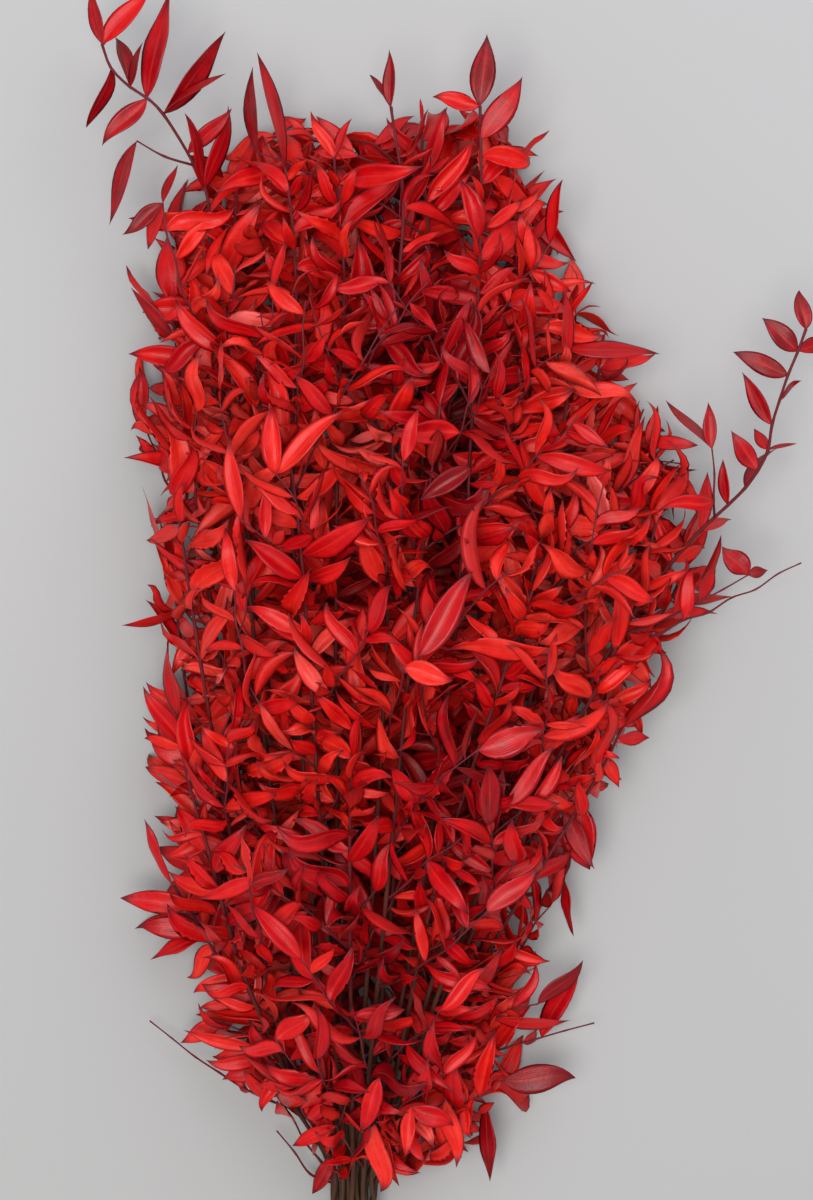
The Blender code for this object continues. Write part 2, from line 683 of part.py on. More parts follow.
    def wild_leaf(self, twig, k, side, plane, name, skip, tries=14, big=1.0):
        """A leaf on a node, on the given side of the twig."""
        foot, t = twig.nodes[k], twig.aim(k)
        lateral = square_to(t.cross(plane), t) * side
        for turn in range(tries):
            spread = math.radians(self.rng.triangular(24, 104, 44))
            lean = math.radians(self.rng.uniform(-58, 58))
            out = lateral * math.cos(lean) + plane * math.sin(lean)
            d = t * math.cos(spread) + square_to(out, t) * math.sin(spread)
            length = self.rng.triangular(0.025, 0.056, 0.039) * big * (1 - 0.012 * turn)
            width = min(0.0155, length * self.rng.uniform(0.23, 0.34))
            roll = math.radians(self.rng.gauss(0, 46))
            face = square_to(self.outward(foot) * 0.75 + plane * 0.6, d)
            n = face * math.cos(roll) + d.cross(face) * math.sin(roll)
            tip = foot + d * length
            tip.z = max(tip.z, REST)
            leaf = Leaf(foot, tip, n, width, self.rng.uniform(-0.05, 0.13), self.rng.random())
            if leaf.d.dot(t) > 0.93:
                continue
            if self.add_leaf(twig, k, leaf, skip, name):
                return True
        return False

    def end_leaf(self, twig, plane, name, skip, tries=14):
        """The leaf that ends a twig."""
        k = len(twig.nodes) - 1
        foot, t = twig.nodes[k], twig.aim(k)
        for turn in range(tries):
            d = (t + Vector([self.rng.uniform(-0.35, 0.35) for _ in range(3)])).normalized()
            length = self.rng.triangular(0.028, 0.054, 0.040)
            width = length * self.rng.uniform(0.24, 0.34)
            roll = math.radians(self.rng.gauss(0, 40))
            face = square_to(self.outward(foot) * 0.75 + plane * 0.6, d)
            n = face * math.cos(roll) + d.cross(face) * math.sin(roll)
            tip = foot + d * length
            tip.z = max(tip.z, REST)
            leaf = Leaf(foot, tip, n, width, self.rng.uniform(-0.05, 0.13), self.rng.random())
            if self.add_leaf(twig, k, leaf, skip, name):
                return True
        return False

    # ---- side twigs ------------------------------------------------------
    def twig_path(self, a, away, b, bow):
        """Nodes from a stem point a, leaving along away, to the end b."""
        reach = (b - a).length
        mid = a + away * (reach * 0.42) + bow
        steps = 24
        fine = []
        for i in range(steps + 1):
            t = i / steps
            fine.append(a * (1 - t) ** 2 + mid * (2 * t * (1 - t)) + b * t * t)
        total = sum((q - p).length for p, q in zip(fine, fine[1:]))
        count = max(2, round((total - 0.004) / INTERNODE))
        nodes = [a.copy()]
        want, run, i = total / count, 0.0, 0
        for p, q in zip(fine, fine[1:]):
            part = (q - p).length
            while run + part >= want * len(nodes) - 1e-9 and len(nodes) <= count:
                f = (want * len(nodes) - run) / part
                nodes.append(p.lerp(q, min(1.0, max(0.0, f))))
            run += part
        while len(nodes) <= count:
            nodes.append(b.copy())
        nodes[-1] = b.copy()
        axis = (b - a).normalized()
        side = square_to(Vector([self.rng.uniform(-1, 1) for _ in range(3)]), axis)
        for k in range(1, len(nodes) - 1):
            nodes[k] = nodes[k] + side * (0.0012 * (1 if k % 2 else -1))
            nodes[k].z = max(nodes[k].z, REST + 0.0012)
        return nodes

    def path_free(self, nodes, name, k):
        skip = self.stem_skip(name, k, 2)
        first = nodes[0] + (nodes[1] - nodes[0]).normalized() * 0.004
        points = [first] + nodes[1:]
        for i, (p, q) in enumerate(zip(points, points[1:])):
            if not self.room.free(rod(p, q, TWIG_R * 1.69 + 0.0007, 6), skip if i == 0 else ()):
                return False
        return True

    def commit_twig(self, nodes, name, k):
        stem = self.stems[name]
        stem.slots.add(k)
        tag = (name, "twig", k)
        twig = Twig(tag, nodes, [TWIG_R * 1.25 - 0.0003 * i / len(nodes)
                                 for i in range(len(nodes))], (stem, k))
        stem.twigs.setdefault(k, []).append(twig)
        first = nodes[0] + (nodes[1] - nodes[0]).normalized() * 0.004
        points = [first] + nodes[1:]
        for i, (p, q) in enumerate(zip(points, points[1:])):
            self.room.put((tag, i), rod(p, q, TWIG_R * 1.69 + 0.0005, 6))
        return twig

    def dress(self, twig, name, bare, marked=False):
        """Leaves along a twig, one to a node and on alternate sides."""
        last = len(twig.nodes) - 1
        axis = (twig.nodes[-1] - twig.nodes[0]).normalized()
        out = self.outward(twig.nodes[last // 2])
        plane = square_to(out + Vector([self.rng.uniform(-0.6, 0.6) for _ in range(3)]), axis)
        side = self.rng.choice((-1, 1))
        if not marked and bare <= 0:
            self.end_leaf(twig, plane, name, {(twig.tag, last - 1)})
        free_end = (twig.nodes[-1] - twig.nodes[-2]).length
        for k in range(last - 1, 0, -1):
            free_end += (twig.nodes[k] - twig.nodes[k - 1]).length
            if bare > 0 and (twig.nodes[k] - twig.nodes[-1]).length < bare * UNIT:
                continue
            skip = {(twig.tag, k - 1), (twig.tag, k)}
            side = -side
            if not self.wild_leaf(twig, k, side, plane, name, skip):
                self.wild_leaf(twig, k, -side, plane, name, skip, 8, 0.9)

    def reach_for(self, goal, marks=(), bare=0.0, only="", near=0.036, far=0.15, limit=14,
                  later=None):
        """Grow a side twig from a main stem to a goal."""
        options = []
        for name, stem in self.stems.items():
            if only and name != only:
                continue
            if not only and self.per.get(name, 0) >= LEAVES_PER_SPRIG:
                continue
            top = len(stem.nodes) - 1 - (0 if only else 8)
            low_k = next(i for i, p in enumerate(stem.nodes) if on_sheet(p)[1] < 1186)
            for k in range(low_k, top, 2):
                if any(abs(k - s) < 2 for s in stem.slots):
                    continue
                gap = goal - stem.nodes[k]
                length = gap.length
                if length < near or length > far:
                    continue
                t = stem.aim(k)
                angle = math.degrees(math.acos(max(-1.0, min(1.0, gap.dot(t) / length))))
                if angle < 16 or angle > (100 if marks or bare else 84):
                    continue
                score = abs(angle - 40) / 30 + abs(length - 0.085) / 0.05
                score += self.rng.uniform(0, 0.8) + self.per.get(name, 0) / 36
                options.append((score, name, k))
        options.sort()
        for _, name, k in options[:limit]:
            stem = self.stems[name]
            a, t = stem.nodes[k], stem.aim(k)
            gap = goal - a
            side = square_to(gap, t)
            for turn in range(3):
                lean = math.radians(self.rng.uniform(34, 52))
                away = t * math.cos(lean) + side * math.sin(lean)
                bow = Vector([self.rng.uniform(-1, 1) for _ in range(3)]) * 0.010
                bow.z = abs(bow.z)
                nodes = self.twig_path(a, away, goal, bow)
                if min(p.z for p in nodes) < REST + 0.001:
                    continue
                if (nodes[1] - nodes[0]).normalized().dot(t) > 0.9:
                    continue
                if self.path_free(nodes, name, k):
                    twig = self.commit_twig(nodes, name, k)
                    if later is None:
                        self.dress(twig, name, bare)
                        return True
                    last = len(nodes) - 1
                    twig.marked = 0
                    for mark in marks:
                        if self.try_drawn(twig, last, mark, {(twig.tag, last - 1)}, name):
                            twig.marked += 1
                    later.append((twig, name, bare, bool(marks)))
                    return True
        return False

    # ---- the whole bunch -------------------------------------------------
    def tips(self):
        """The leafy ends of the main stems."""
        for name, u, v, marks in DRAWN_ON_STEM:
            stem = self.stems[name]
            goal = at(u, v, 0)
            k = min(range(len(stem.nodes)), key=lambda i: (
                (on_sheet(stem.nodes[i])[0] - u) ** 2 + (on_sheet(stem.nodes[i])[1] - v) ** 2))
            stem.slots.add(k)
            skip = self.stem_skip(name, k, 1)
            for mark in marks:
                self.try_drawn(stem, k, mark, skip, name)
        for name, stem in self.stems.items():
            last = len(stem.nodes) - 1
            axis = stem.aim(last - 10)
            plane = square_to(self.outward(stem.nodes[last - 8])
                              + Vector([self.rng.uniform(-0.4, 0.4) for _ in range(3)]), axis)
            side = self.rng.choice((-1, 1))
            reach = 42 if name in ("sprig_01", "sprig_10") else 26
            if last not in stem.slots and not stem.leaves.get(last):
                self.end_leaf(stem, plane, name, self.stem_skip(name, last, 1))
                stem.slots.add(last)
            for k in range(last - 3, last - reach, -3):
                if any(abs(k - s) < 2 for s in stem.slots):
                    continue
                side = -side
                skip = self.stem_skip(name, k, 1)
                if self.wild_leaf(stem, k, side, plane, name, skip):
                    stem.slots.add(k)

    def drawn_twigs(self):
        later = []
        for (u, v, mm), marks, bare, only in DRAWN_TWIGS:
            goal = at(u, v, mm)
            done = False
            for turn in range(12):
                loose = 0.0007 * turn
                spot = goal + Vector((self.rng.uniform(-loose, loose),
                                      self.rng.uniform(-loose, loose),
                                      self.rng.uniform(-2, 2) * loose))
                if spot.z < 0.002:
                    continue
                if self.reach_for(spot, marks, bare, only, 0.02, 0.2 if only else 0.17, 24,
                                  later):
                    done = True
                    break
            if not done:
                self.notes.append("drawn twig to %s,%s left out" % (u, v))
        for twig, name, bare, marked in later:
            self.dress(twig, name, bare, marked)

    def fill(self):
        """Side twigs into the emptiest places until the bunch is full."""
        spots = []
        for v in range(130, 1176, 26):
            edges = outline(v)
            u = edges[0] + 10
            while u < edges[1] - 6:
                top = roof(u, v)
                z = 6.0
                while z < top - 4:
                    spots.append((u, v, z))
                    z += 15.0
                u += 26
        tired = {}
        misses = 0
        while self.count < TWIG_LEAVES and misses < 420:
            ranked = []
            for i, (u, v, z) in enumerate(spots):
                if tired.get(i, 0) > 2:
                    continue
                p = at(u, v, z)
                top = roof(u, v)
                skin = 1.0 - 0.42 * min(1.0, (top - z) / 60.0)
                crown = self.crown(v)
                value = self.heat_at(p) * crown / skin + tired.get(i, 0) * 300
                ranked.append((value, i))
            if not ranked:
                break
            ranked.sort()
            done = 0
            for value, i in ranked[:14]:
                u, v, z = spots[i]
                goal = at(u + self.rng.uniform(-12, 12), v + self.rng.uniform(-12, 12),
                          max(2.5, z + self.rng.uniform(-5, 5)))
                tired[i] = tired.get(i, 0) + 1
                if inside(goal, 0, 0) and not hollow(goal) and self.reach_for(goal):
                    done += 1
                else:
                    misses += 1
                if self.count >= TWIG_LEAVES:
                    break

    def thicken(self):
        """A second blade at nodes in the emptiest places, and some on bare stem."""
        places = []
        for name, stem in self.stems.items():
            for twigs in stem.twigs.values():
                for twig in twigs:
                    for k in range(1, len(twig.nodes)):
                        if len(twig.leaves.get(k, ())) == 1 and not twig.leaves[k][0].drawn:
                            places.append((name, twig, k, {(twig.tag, k - 1), (twig.tag, k)}))
            start = next(i for i, p in enumerate(stem.nodes) if on_sheet(p)[1] < 1176)
            for k in range(start, len(stem.nodes) - 2, 3):
                if all(abs(k - s) >= 3 for s in stem.slots):
                    places.append((name, stem, k, self.stem_skip(name, k, 1)))
        tired = set()
        while self.count < LEAF_TOTAL and len(tired) < len(places):
            ranked = sorted(
                (self.heat_at(twig.nodes[k])
                 * self.crown(on_sheet(twig.nodes[k])[1])
                 + (0 if twig.parent else 300), i)
                for i, (name, twig, k, _) in enumerate(places)
                if i not in tired
            )
            for _, i in ranked[:20]:
                name, twig, k, skip = places[i]
                tired.add(i)
                t = twig.aim(k)
                if twig.leaves.get(k):
                    other = twig.leaves[k][0]
                    plane = square_to(other.n + Vector(
                        [self.rng.uniform(-0.7, 0.7) for _ in range(3)]), t)
                    side = -1 if other.d.dot(t.cross(plane)) > 0 else 1
                else:
                    if any(abs(k - s) < 3 for s in twig.slots):
                        continue
                    plane = square_to(Vector([self.rng.uniform(-1, 1) for _ in range(3)])
                                      + self.outward(twig.nodes[k]), t)
                    side = self.rng.choice((-1, 1))
                if self.wild_leaf(twig, k, side, plane, name, skip, 6):
                    if twig.parent is None:
                        twig.slots.add(k)
                if self.count >= LEAF_TOTAL:
                    break

    def grow(self):
        self.lay_stems()
        self.tips()
        self.drawn_twigs()
        self.fill()
        self.thicken()
        return self


def turned(v, axis, angle):
    return v * math.cos(angle) + axis.cross(v) * math.sin(angle)


def lateral_of(item):
    """The direction in which a leaf or a side twig leaves its node."""
    if isinstance(item, Leaf):
        return item.d
    return (item.nodes[1] - item.nodes[0]).normalized()


def share_sides(twig, sides, notes):
    """Turn each node's section so that every leaf or side twig has a flank of its own."""
    twig.face = {}
    twig.flank = {}
    last = len(twig.nodes) - 1
    previous = None
    for k in range(1, last + 1):
        t = twig.aim(k)
        items = list(twig.twigs.get(k, ())) + list(twig.leaves.get(k, ()))
        if k == last and twig.leaves.get(k):
            crown = max(twig.leaves[k], key=lambda leaf: leaf.d.dot(t))
            twig.crown = crown if crown.d.dot(t) > 0.3 else None
            items = [item for item in items if item is not twig.crown]
        base = square_to(previous if previous is not None else Vector((0.1, 0.2, 1)), t)
        if not items:
            twig.face[k] = base
            previous = base
            continue
        while True:
            laterals = [square_to(lateral_of(item), t) for item in items]
            best = None
            for step in range(24):
                front = turned(base, t, step * math.tau / sides / 24)
                flanks = [turned(front, t, j * math.tau / sides) for j in range(sides)]
                for order in itertools.permutations(range(sides), len(items)):
                    worth = min(flanks[j].dot(w) for j, w in zip(order, laterals))
                    if best is None or worth > best[0] + 1e-6:
                        best = (worth, front, order, flanks)
                if len(items) > sides:
                    break
            if best is not None and best[0] > 0.25:
                break
            drop = items.pop()
            twig.leaves[k].remove(drop)
            notes.append("a leaf had no flank at %s %s" % (twig.tag, k))
            if not items:
                break
        if not items:
            twig.face[k] = base
            previous = base
            continue
        _, front, order, flanks = best
        twig.face[k] = front
        previous = front
        for item, j in zip(items, order):
            twig.flank[id(item)] = flanks[j]


def settle(bunch):
    for stem in bunch.stems.values():
        stem.crown = None
        share_sides(stem, 4, bunch.notes)
        for twigs in stem.twigs.values():
            for twig in twigs:
                twig.crown = None
                share_sides(twig, 3, bunch.notes)


def stem_rings(stem):
    """Node numbers at which a main stem needs a section."""
    last = len(stem.nodes) - 1
    keep = {0, last} | {k for k, v in stem.leaves.items() if v} | set(stem.twigs)
    tie = [k for k, p in enumerate(stem.nodes) if abs(p.y - stem.nodes[0].y) < 1e-9]
    keep |= set(tie)

    def split(a, b):
        if b - a < 2:
            return
        p, q = stem.nodes[a], stem.nodes[b]
        t = (q - p).normalized()
        worst, where = 0.0, None
        for k in range(a + 1, b):
            w = stem.nodes[k] - p
            off = (w - t * w.dot(t)).length
            if off > worst:
                worst, where = off, k
        if worst > 0.00035:
            keep.add(where)
            split(a, where)
            split(where, b)

    marks = sorted(keep)
    for a, b in zip(marks, marks[1:]):
        split(a, b)
    return sorted(keep)


# ---------------------------------------------------------------------------
# The solids


def section(center, t, facing, radius, sides):
    """Corners of a regular section, with the middle of one flank at facing."""
    x = square_to(facing, t)
    y = t.cross(x)
    return [
        center
        + x * (radius * math.cos(math.pi * (2 * j + 1) / sides))
        + y * (radius * math.sin(math.pi * (2 * j + 1) / sides))
        for j in range(sides)
    ]


def advance(bm, face, corners, material=0):
    """Grow the solid on from a face; its copy takes the given corners."""
    cap = bmesh.ops.extrude_discrete_faces(bm, faces=[face])["faces"][0]
    verts = [loop.vert for loop in cap.loops]
    count = len(verts)
    middle = sum((v.co for v in verts), Vector()) / count
    goal = sum(corners, Vector()) / count
    old = [(v.co - middle).normalized() for v in verts]
    new = [(c - goal).normalized() for c in corners]
    shift = max(range(count), key=lambda s: sum(
        old[i].dot(new[(i + s) % count]) for i in range(count)))
    for i, v in enumerate(verts):
        v.co = corners[(i + shift) % count]
    cap.material_index = material
    for edge in cap.edges:
        for side in edge.link_faces:
            side.material_index = material
    return cap


def open_flank(bm, cap, center, direction, depth):
    """A small triangle on the flank behind the cap's edge that faces direction."""
    edge = max(cap.edges, key=lambda e: (
        (e.verts[0].co + e.verts[1].co) / 2 - center).normalized().dot(direction))
    ends = set(edge.verts)
    wall = next(f for f in edge.link_faces if f is not cap)
    far = [v for v in wall.verts if v not in ends]
    near = (edge.verts[0].co + edge.verts[1].co) / 2
    back = sum((v.co for v in far), Vector()) / len(far) - near
    made = bmesh.ops.poke(bm, faces=[wall])
    tip = made["verts"][0]
    tip.co = near + back * min(0.6, depth / back.length)
    return next(f for f in made["faces"] if ends <= set(f.verts))


def grow_leaf(bm, face, leaf):
    c = leaf.spine(LEAF_WIDE_AT)
    edge_up = leaf.n * (0.4 * LEAF_T)
    corners = [
        c + leaf.s * (leaf.width / 2) + edge_up,
        c - leaf.n * (0.6 * LEAF_T),
        c - leaf.s * (leaf.width / 2) + edge_up,
    ]
    if len(face.verts) == 4:
        corners.append(c + edge_up)
    cap = advance(bm, face, corners, 1)
    made = bmesh.ops.poke(bm, faces=[cap])
    made["verts"][0].co = leaf.tip
    for f in made["faces"]:
        f.material_index = 1


def grow_twig(bm, face, twig):
    last = len(twig.nodes) - 1
    cap = face
    for k in range(1, last + 1):
        t = twig.aim(k)
        radius = twig.radii[k] * 1.35
        if k == last and not twig.leaves.get(k):
            radius *= 0.6
        corners = section(twig.nodes[k], t, twig.face[k], radius, 3)
        cap = advance(bm, cap, corners)
        for leaf in twig.leaves.get(k, ()):
            if leaf is not twig.crown:
                base = open_flank(bm, cap, twig.nodes[k], twig.flank[id(leaf)], 0.0016)
                grow_leaf(bm, base, leaf)
    if twig.crown is not None:
        grow_leaf(bm, cap, twig.crown)


def halve_quads(bm):
    """Split each bent quad along the diagonal that leaves it bulging outwards."""
    for face in [f for f in bm.faces if len(f.verts) == 4]:
        a, b, c, d = [loop.vert for loop in face.loops]
        normal = (b.co - a.co).cross(c.co - a.co)
        if (d.co - a.co).dot(normal) <= 0:
            bmesh.utils.face_split(face, a, c)
        else:
            bmesh.utils.face_split(face, b, d)


def build_sprig(name, stem):
    bm = bmesh.new()
    rings = stem_rings(stem)
    p, q = stem.nodes[rings[0]], stem.nodes[rings[1]]
    t = (q - p).normalized()
    bmesh.ops.create_cone(bm, cap_ends=True, segments=4, radius1=0.001, radius2=0.001,
                          depth=0.002)
    up = Vector((0, 0, 1))
    lower = next(f for f in bm.faces if f.normal.z < -0.9)
    cap = next(f for f in bm.faces if f.normal.z > 0.9)
    previous = square_to(up, t)
    first = section(p, t, previous, stem.radii[0] * 1.25, 4)
    second = section(q, stem.aim(rings[1]), previous, stem.radii[rings[1]] * 1.25, 4)
    ordered = [loop.vert for loop in cap.loops]
    below = {}
    for v in ordered:
        below[v] = next(e.other_vert(v) for e in v.link_edges if e.other_vert(v) in lower.verts)
    for i, v in enumerate(ordered):
        v.co = second[i]
        below[v].co = first[i]
    for k in rings[1:]:
        t = stem.aim(k)
        busy = stem.twigs.get(k) or stem.leaves.get(k)
        facing = stem.face[k] if busy else square_to(previous, t)
        previous = facing
        if k != rings[1]:
            cap = advance(bm, cap, section(stem.nodes[k], t, facing, stem.radii[k] * 1.25, 4))
        for twig in stem.twigs.get(k, ()):
            grow_twig(bm, open_flank(bm, cap, stem.nodes[k], stem_flank(stem, twig), 0.0028), twig)
        for leaf in stem.leaves.get(k, ()):
            if leaf is not stem.crown:
                base = open_flank(bm, cap, stem.nodes[k], stem_flank(stem, leaf), 0.0018)
                grow_leaf(bm, base, leaf)
    if stem.crown is not None:
        grow_leaf(bm, cap, stem.crown)
    halve_quads(bm)
    bmesh.ops.triangulate(bm, faces=[f for f in bm.faces if len(f.verts) > 3])
    mesh = bpy.data.meshes.new(name)
    bm.to_mesh(mesh)
    bm.free()
    return bpy.data.objects.new(name, mesh)


def stem_flank(stem, item):
    return stem.flank[id(item)]


def paint(name, colour, roughness):
    material = bpy.data.materials.new(name)
    material.use_nodes = True
    shader = material.node_tree.nodes["Principled BSDF"]
    shader.inputs["Base Color"].default_value = (*colour, 1)
    shader.inputs["Roughness"].default_value = roughness
    shader.inputs["Metallic"].default_value = 0.0
    material.diffuse_color = (*colour, 1)
    return material


def hull(points):
    """Convex outline of points in a plane, counter-clockwise."""
    points = sorted(points)

    def half(row):
        out = []
        for p in row:
            while len(out) > 1 and (
                (out[-1][0] - out[-2][0]) * (p[1] - out[-2][1])
                - (out[-1][1] - out[-2][1]) * (p[0] - out[-2][0])
            ) <= 0:
                out.pop()
            out.append(p)
        return out[:-1]

    return half(points) + half(points[::-1])


def band_loop(tie, off):
    """The outline round the tied stems, off from their axes, in x and z."""
    cloud = []
    for x, z in tie[2]:
        for k in range(12):
            a = math.tau * k / 12
            cloud.append((round(x + off * math.cos(a), 6), round(z + off * math.sin(a), 6)))
    return hull(cloud)


def build_band(tie):
    """A flat band: the outline with a hole, as wide as the band."""
    curve = bpy.data.curves.new("binding_band", "CURVE")
    curve.dimensions = "2D"
    curve.fill_mode = "BOTH"
    curve.extrude = BAND_W / 2
    for off in (0.0021 + GAP, 0.0021 + GAP + BAND_T):
        loop = band_loop(tie, off)
        spline_ = curve.splines.new("POLY")
        spline_.points.add(len(loop) - 1)
        for point, (x, z) in zip(spline_.points, loop):
            point.co = (x, z, 0, 1)
        spline_.use_cyclic_u = True
    helper = bpy.data.objects.new("binding_band_outline", curve)
    bpy.context.scene.collection.objects.link(helper)
    helper.rotation_euler = (math.pi / 2, 0, 0)
    helper.location = (0, tie[1], 0)
    bpy.context.view_layer.update()
    mesh = bpy.data.meshes.new_from_object(
        helper.evaluated_get(bpy.context.evaluated_depsgraph_get()))
    mesh.transform(helper.matrix_world)
    bpy.data.objects.remove(helper)
    bm = bmesh.new()
    bm.from_mesh(mesh)
    bmesh.ops.remove_doubles(bm, verts=bm.verts, dist=0.00001)
    bm.to_mesh(mesh)
    bm.free()
    mesh.materials.clear()
    mesh.name = "binding_band"
    return bpy.data.objects.new("binding_band", mesh)


def main():
    for old in list(bpy.data.objects):
        bpy.data.objects.remove(old)
    bunch = Bunch().grow()
    settle(bunch)
    group = bpy.data.collections.new("dried_ruscus_bunch")
    bpy.context.scene.collection.children.link(group)
    stem_paint = paint("stem_brown", (0.16, 0.07, 0.045), 0.7)
    leaf_paint = paint("leaf_red", (0.42, 0.012, 0.012), 0.5)
    band_paint = paint("band_tan", (0.55, 0.38, 0.22), 0.6)
    objects = []
    for name in sorted(bunch.stems):
        piece = build_sprig(name, bunch.stems[name])
        piece.data.materials.append(stem_paint)
        piece.data.materials.append(leaf_paint)
        objects.append(piece)
    band = build_band(bunch.tie)
    band.data.materials.append(band_paint)
    objects.append(band)
    corners = [v.co for piece in objects for v in piece.data.vertices]
    low = [min(c[i] for c in corners) for i in range(3)]
    high = [max(c[i] for c in corners) for i in range(3)]
    origin = Vector(((low[0] + high[0]) / 2, (low[1] + high[1]) / 2, low[2]))
    for piece in objects:
        for v in piece.data.vertices:
            v.co -= origin
        piece.data.update()
        group.objects.link(piece)
    return bunch, origin


BUNCH, ORIGIN = main()
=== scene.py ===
"""The looks of a bunch of dyed, dried soft ruscus, tied and laid on its side.

The bunch is laid out by the same rules as the solids, so every blade, twig
and stem below stands where its solid is.  Units are metres.
"""

import itertools
import json
import math
import random

import bpy
import numpy as np
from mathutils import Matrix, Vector
from mathutils.bvhtree import BVHTree
from mathutils.geometry import intersect_point_line
from mathutils.kdtree import KDTree

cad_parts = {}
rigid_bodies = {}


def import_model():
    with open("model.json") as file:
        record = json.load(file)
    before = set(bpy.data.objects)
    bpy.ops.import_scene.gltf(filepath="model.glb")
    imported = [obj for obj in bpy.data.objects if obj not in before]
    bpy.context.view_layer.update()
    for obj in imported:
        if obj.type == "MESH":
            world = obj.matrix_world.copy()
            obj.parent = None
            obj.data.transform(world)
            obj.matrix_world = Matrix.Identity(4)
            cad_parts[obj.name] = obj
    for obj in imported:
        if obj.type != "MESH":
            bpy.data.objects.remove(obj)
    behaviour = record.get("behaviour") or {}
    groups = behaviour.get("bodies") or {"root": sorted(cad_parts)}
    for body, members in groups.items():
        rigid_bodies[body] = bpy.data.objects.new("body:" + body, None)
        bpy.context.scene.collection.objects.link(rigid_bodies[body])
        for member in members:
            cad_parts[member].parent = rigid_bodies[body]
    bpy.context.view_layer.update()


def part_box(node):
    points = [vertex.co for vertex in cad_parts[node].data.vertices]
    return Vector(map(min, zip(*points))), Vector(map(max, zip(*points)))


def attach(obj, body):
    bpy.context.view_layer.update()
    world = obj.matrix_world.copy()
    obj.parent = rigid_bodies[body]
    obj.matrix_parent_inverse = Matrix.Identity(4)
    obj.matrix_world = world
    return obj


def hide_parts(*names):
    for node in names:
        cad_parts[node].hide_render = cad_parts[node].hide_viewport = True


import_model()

# ---------------------------------------------------------------------------
# The layout of the bunch

SEED = 30

# The layout sheet: a drawing of the bunch seen from straight above, u to the
# right and v towards the cut ends.  UNIT is the metres of one sheet unit at
# the height MID, for an eye that is EYE above that height.
UNIT = 0.00056
EYE = 2.0
MID = 0.060
SHEET_U = 406.5
SHEET_V = 600.0

TIE_U = 353.0
TIE_V = 1228.0
CUT_V = 1326.0
REST = 0.0008          # height of the surface under the bunch before the last shift
STEM_R = 0.0017        # radius of a main stem at the tie
STEM_TIP_R = 0.0009    # and where its last leaves sit
TWIG_R = 0.00075       # radius of a side twig
STEM_PITCH = 0.0047    # spacing of the stems inside the tie
BAND_W = 0.008
BAND_T = 0.0012
GAP = 0.0005

INTERNODE = 0.0155
LEAF_WIDE_AT = 0.42    # where along its length a leaf is widest
LEAF_T = 0.0013

# v, left edge, right edge (sheet units) and height (mm) of the leafy mass.
OUTLINE = (
    (106, 300, 500, 70), (150, 222, 530, 84), (200, 172, 556, 98),
    (250, 160, 556, 110), (300, 142, 584, 122), (350, 140, 622, 132),
    (400, 142, 646, 140), (450, 144, 676, 146), (500, 158, 704, 148),
    (550, 152, 720, 148), (600, 156, 700, 148), (650, 184, 668, 148),
    (700, 154, 648, 146), (750, 150, 634, 144), (800, 160, 596, 140),
    (850, 150, 576, 134), (900, 150, 538, 128), (950, 188, 536, 122),
    (1000, 190, 530, 116), (1050, 212, 522, 108), (1080, 250, 512, 102),
    (1100, 276, 494, 96), (1130, 296, 478, 86), (1152, 314, 462, 76),
    (1180, 332, 404, 60),
)
EDGE_H = 26.0

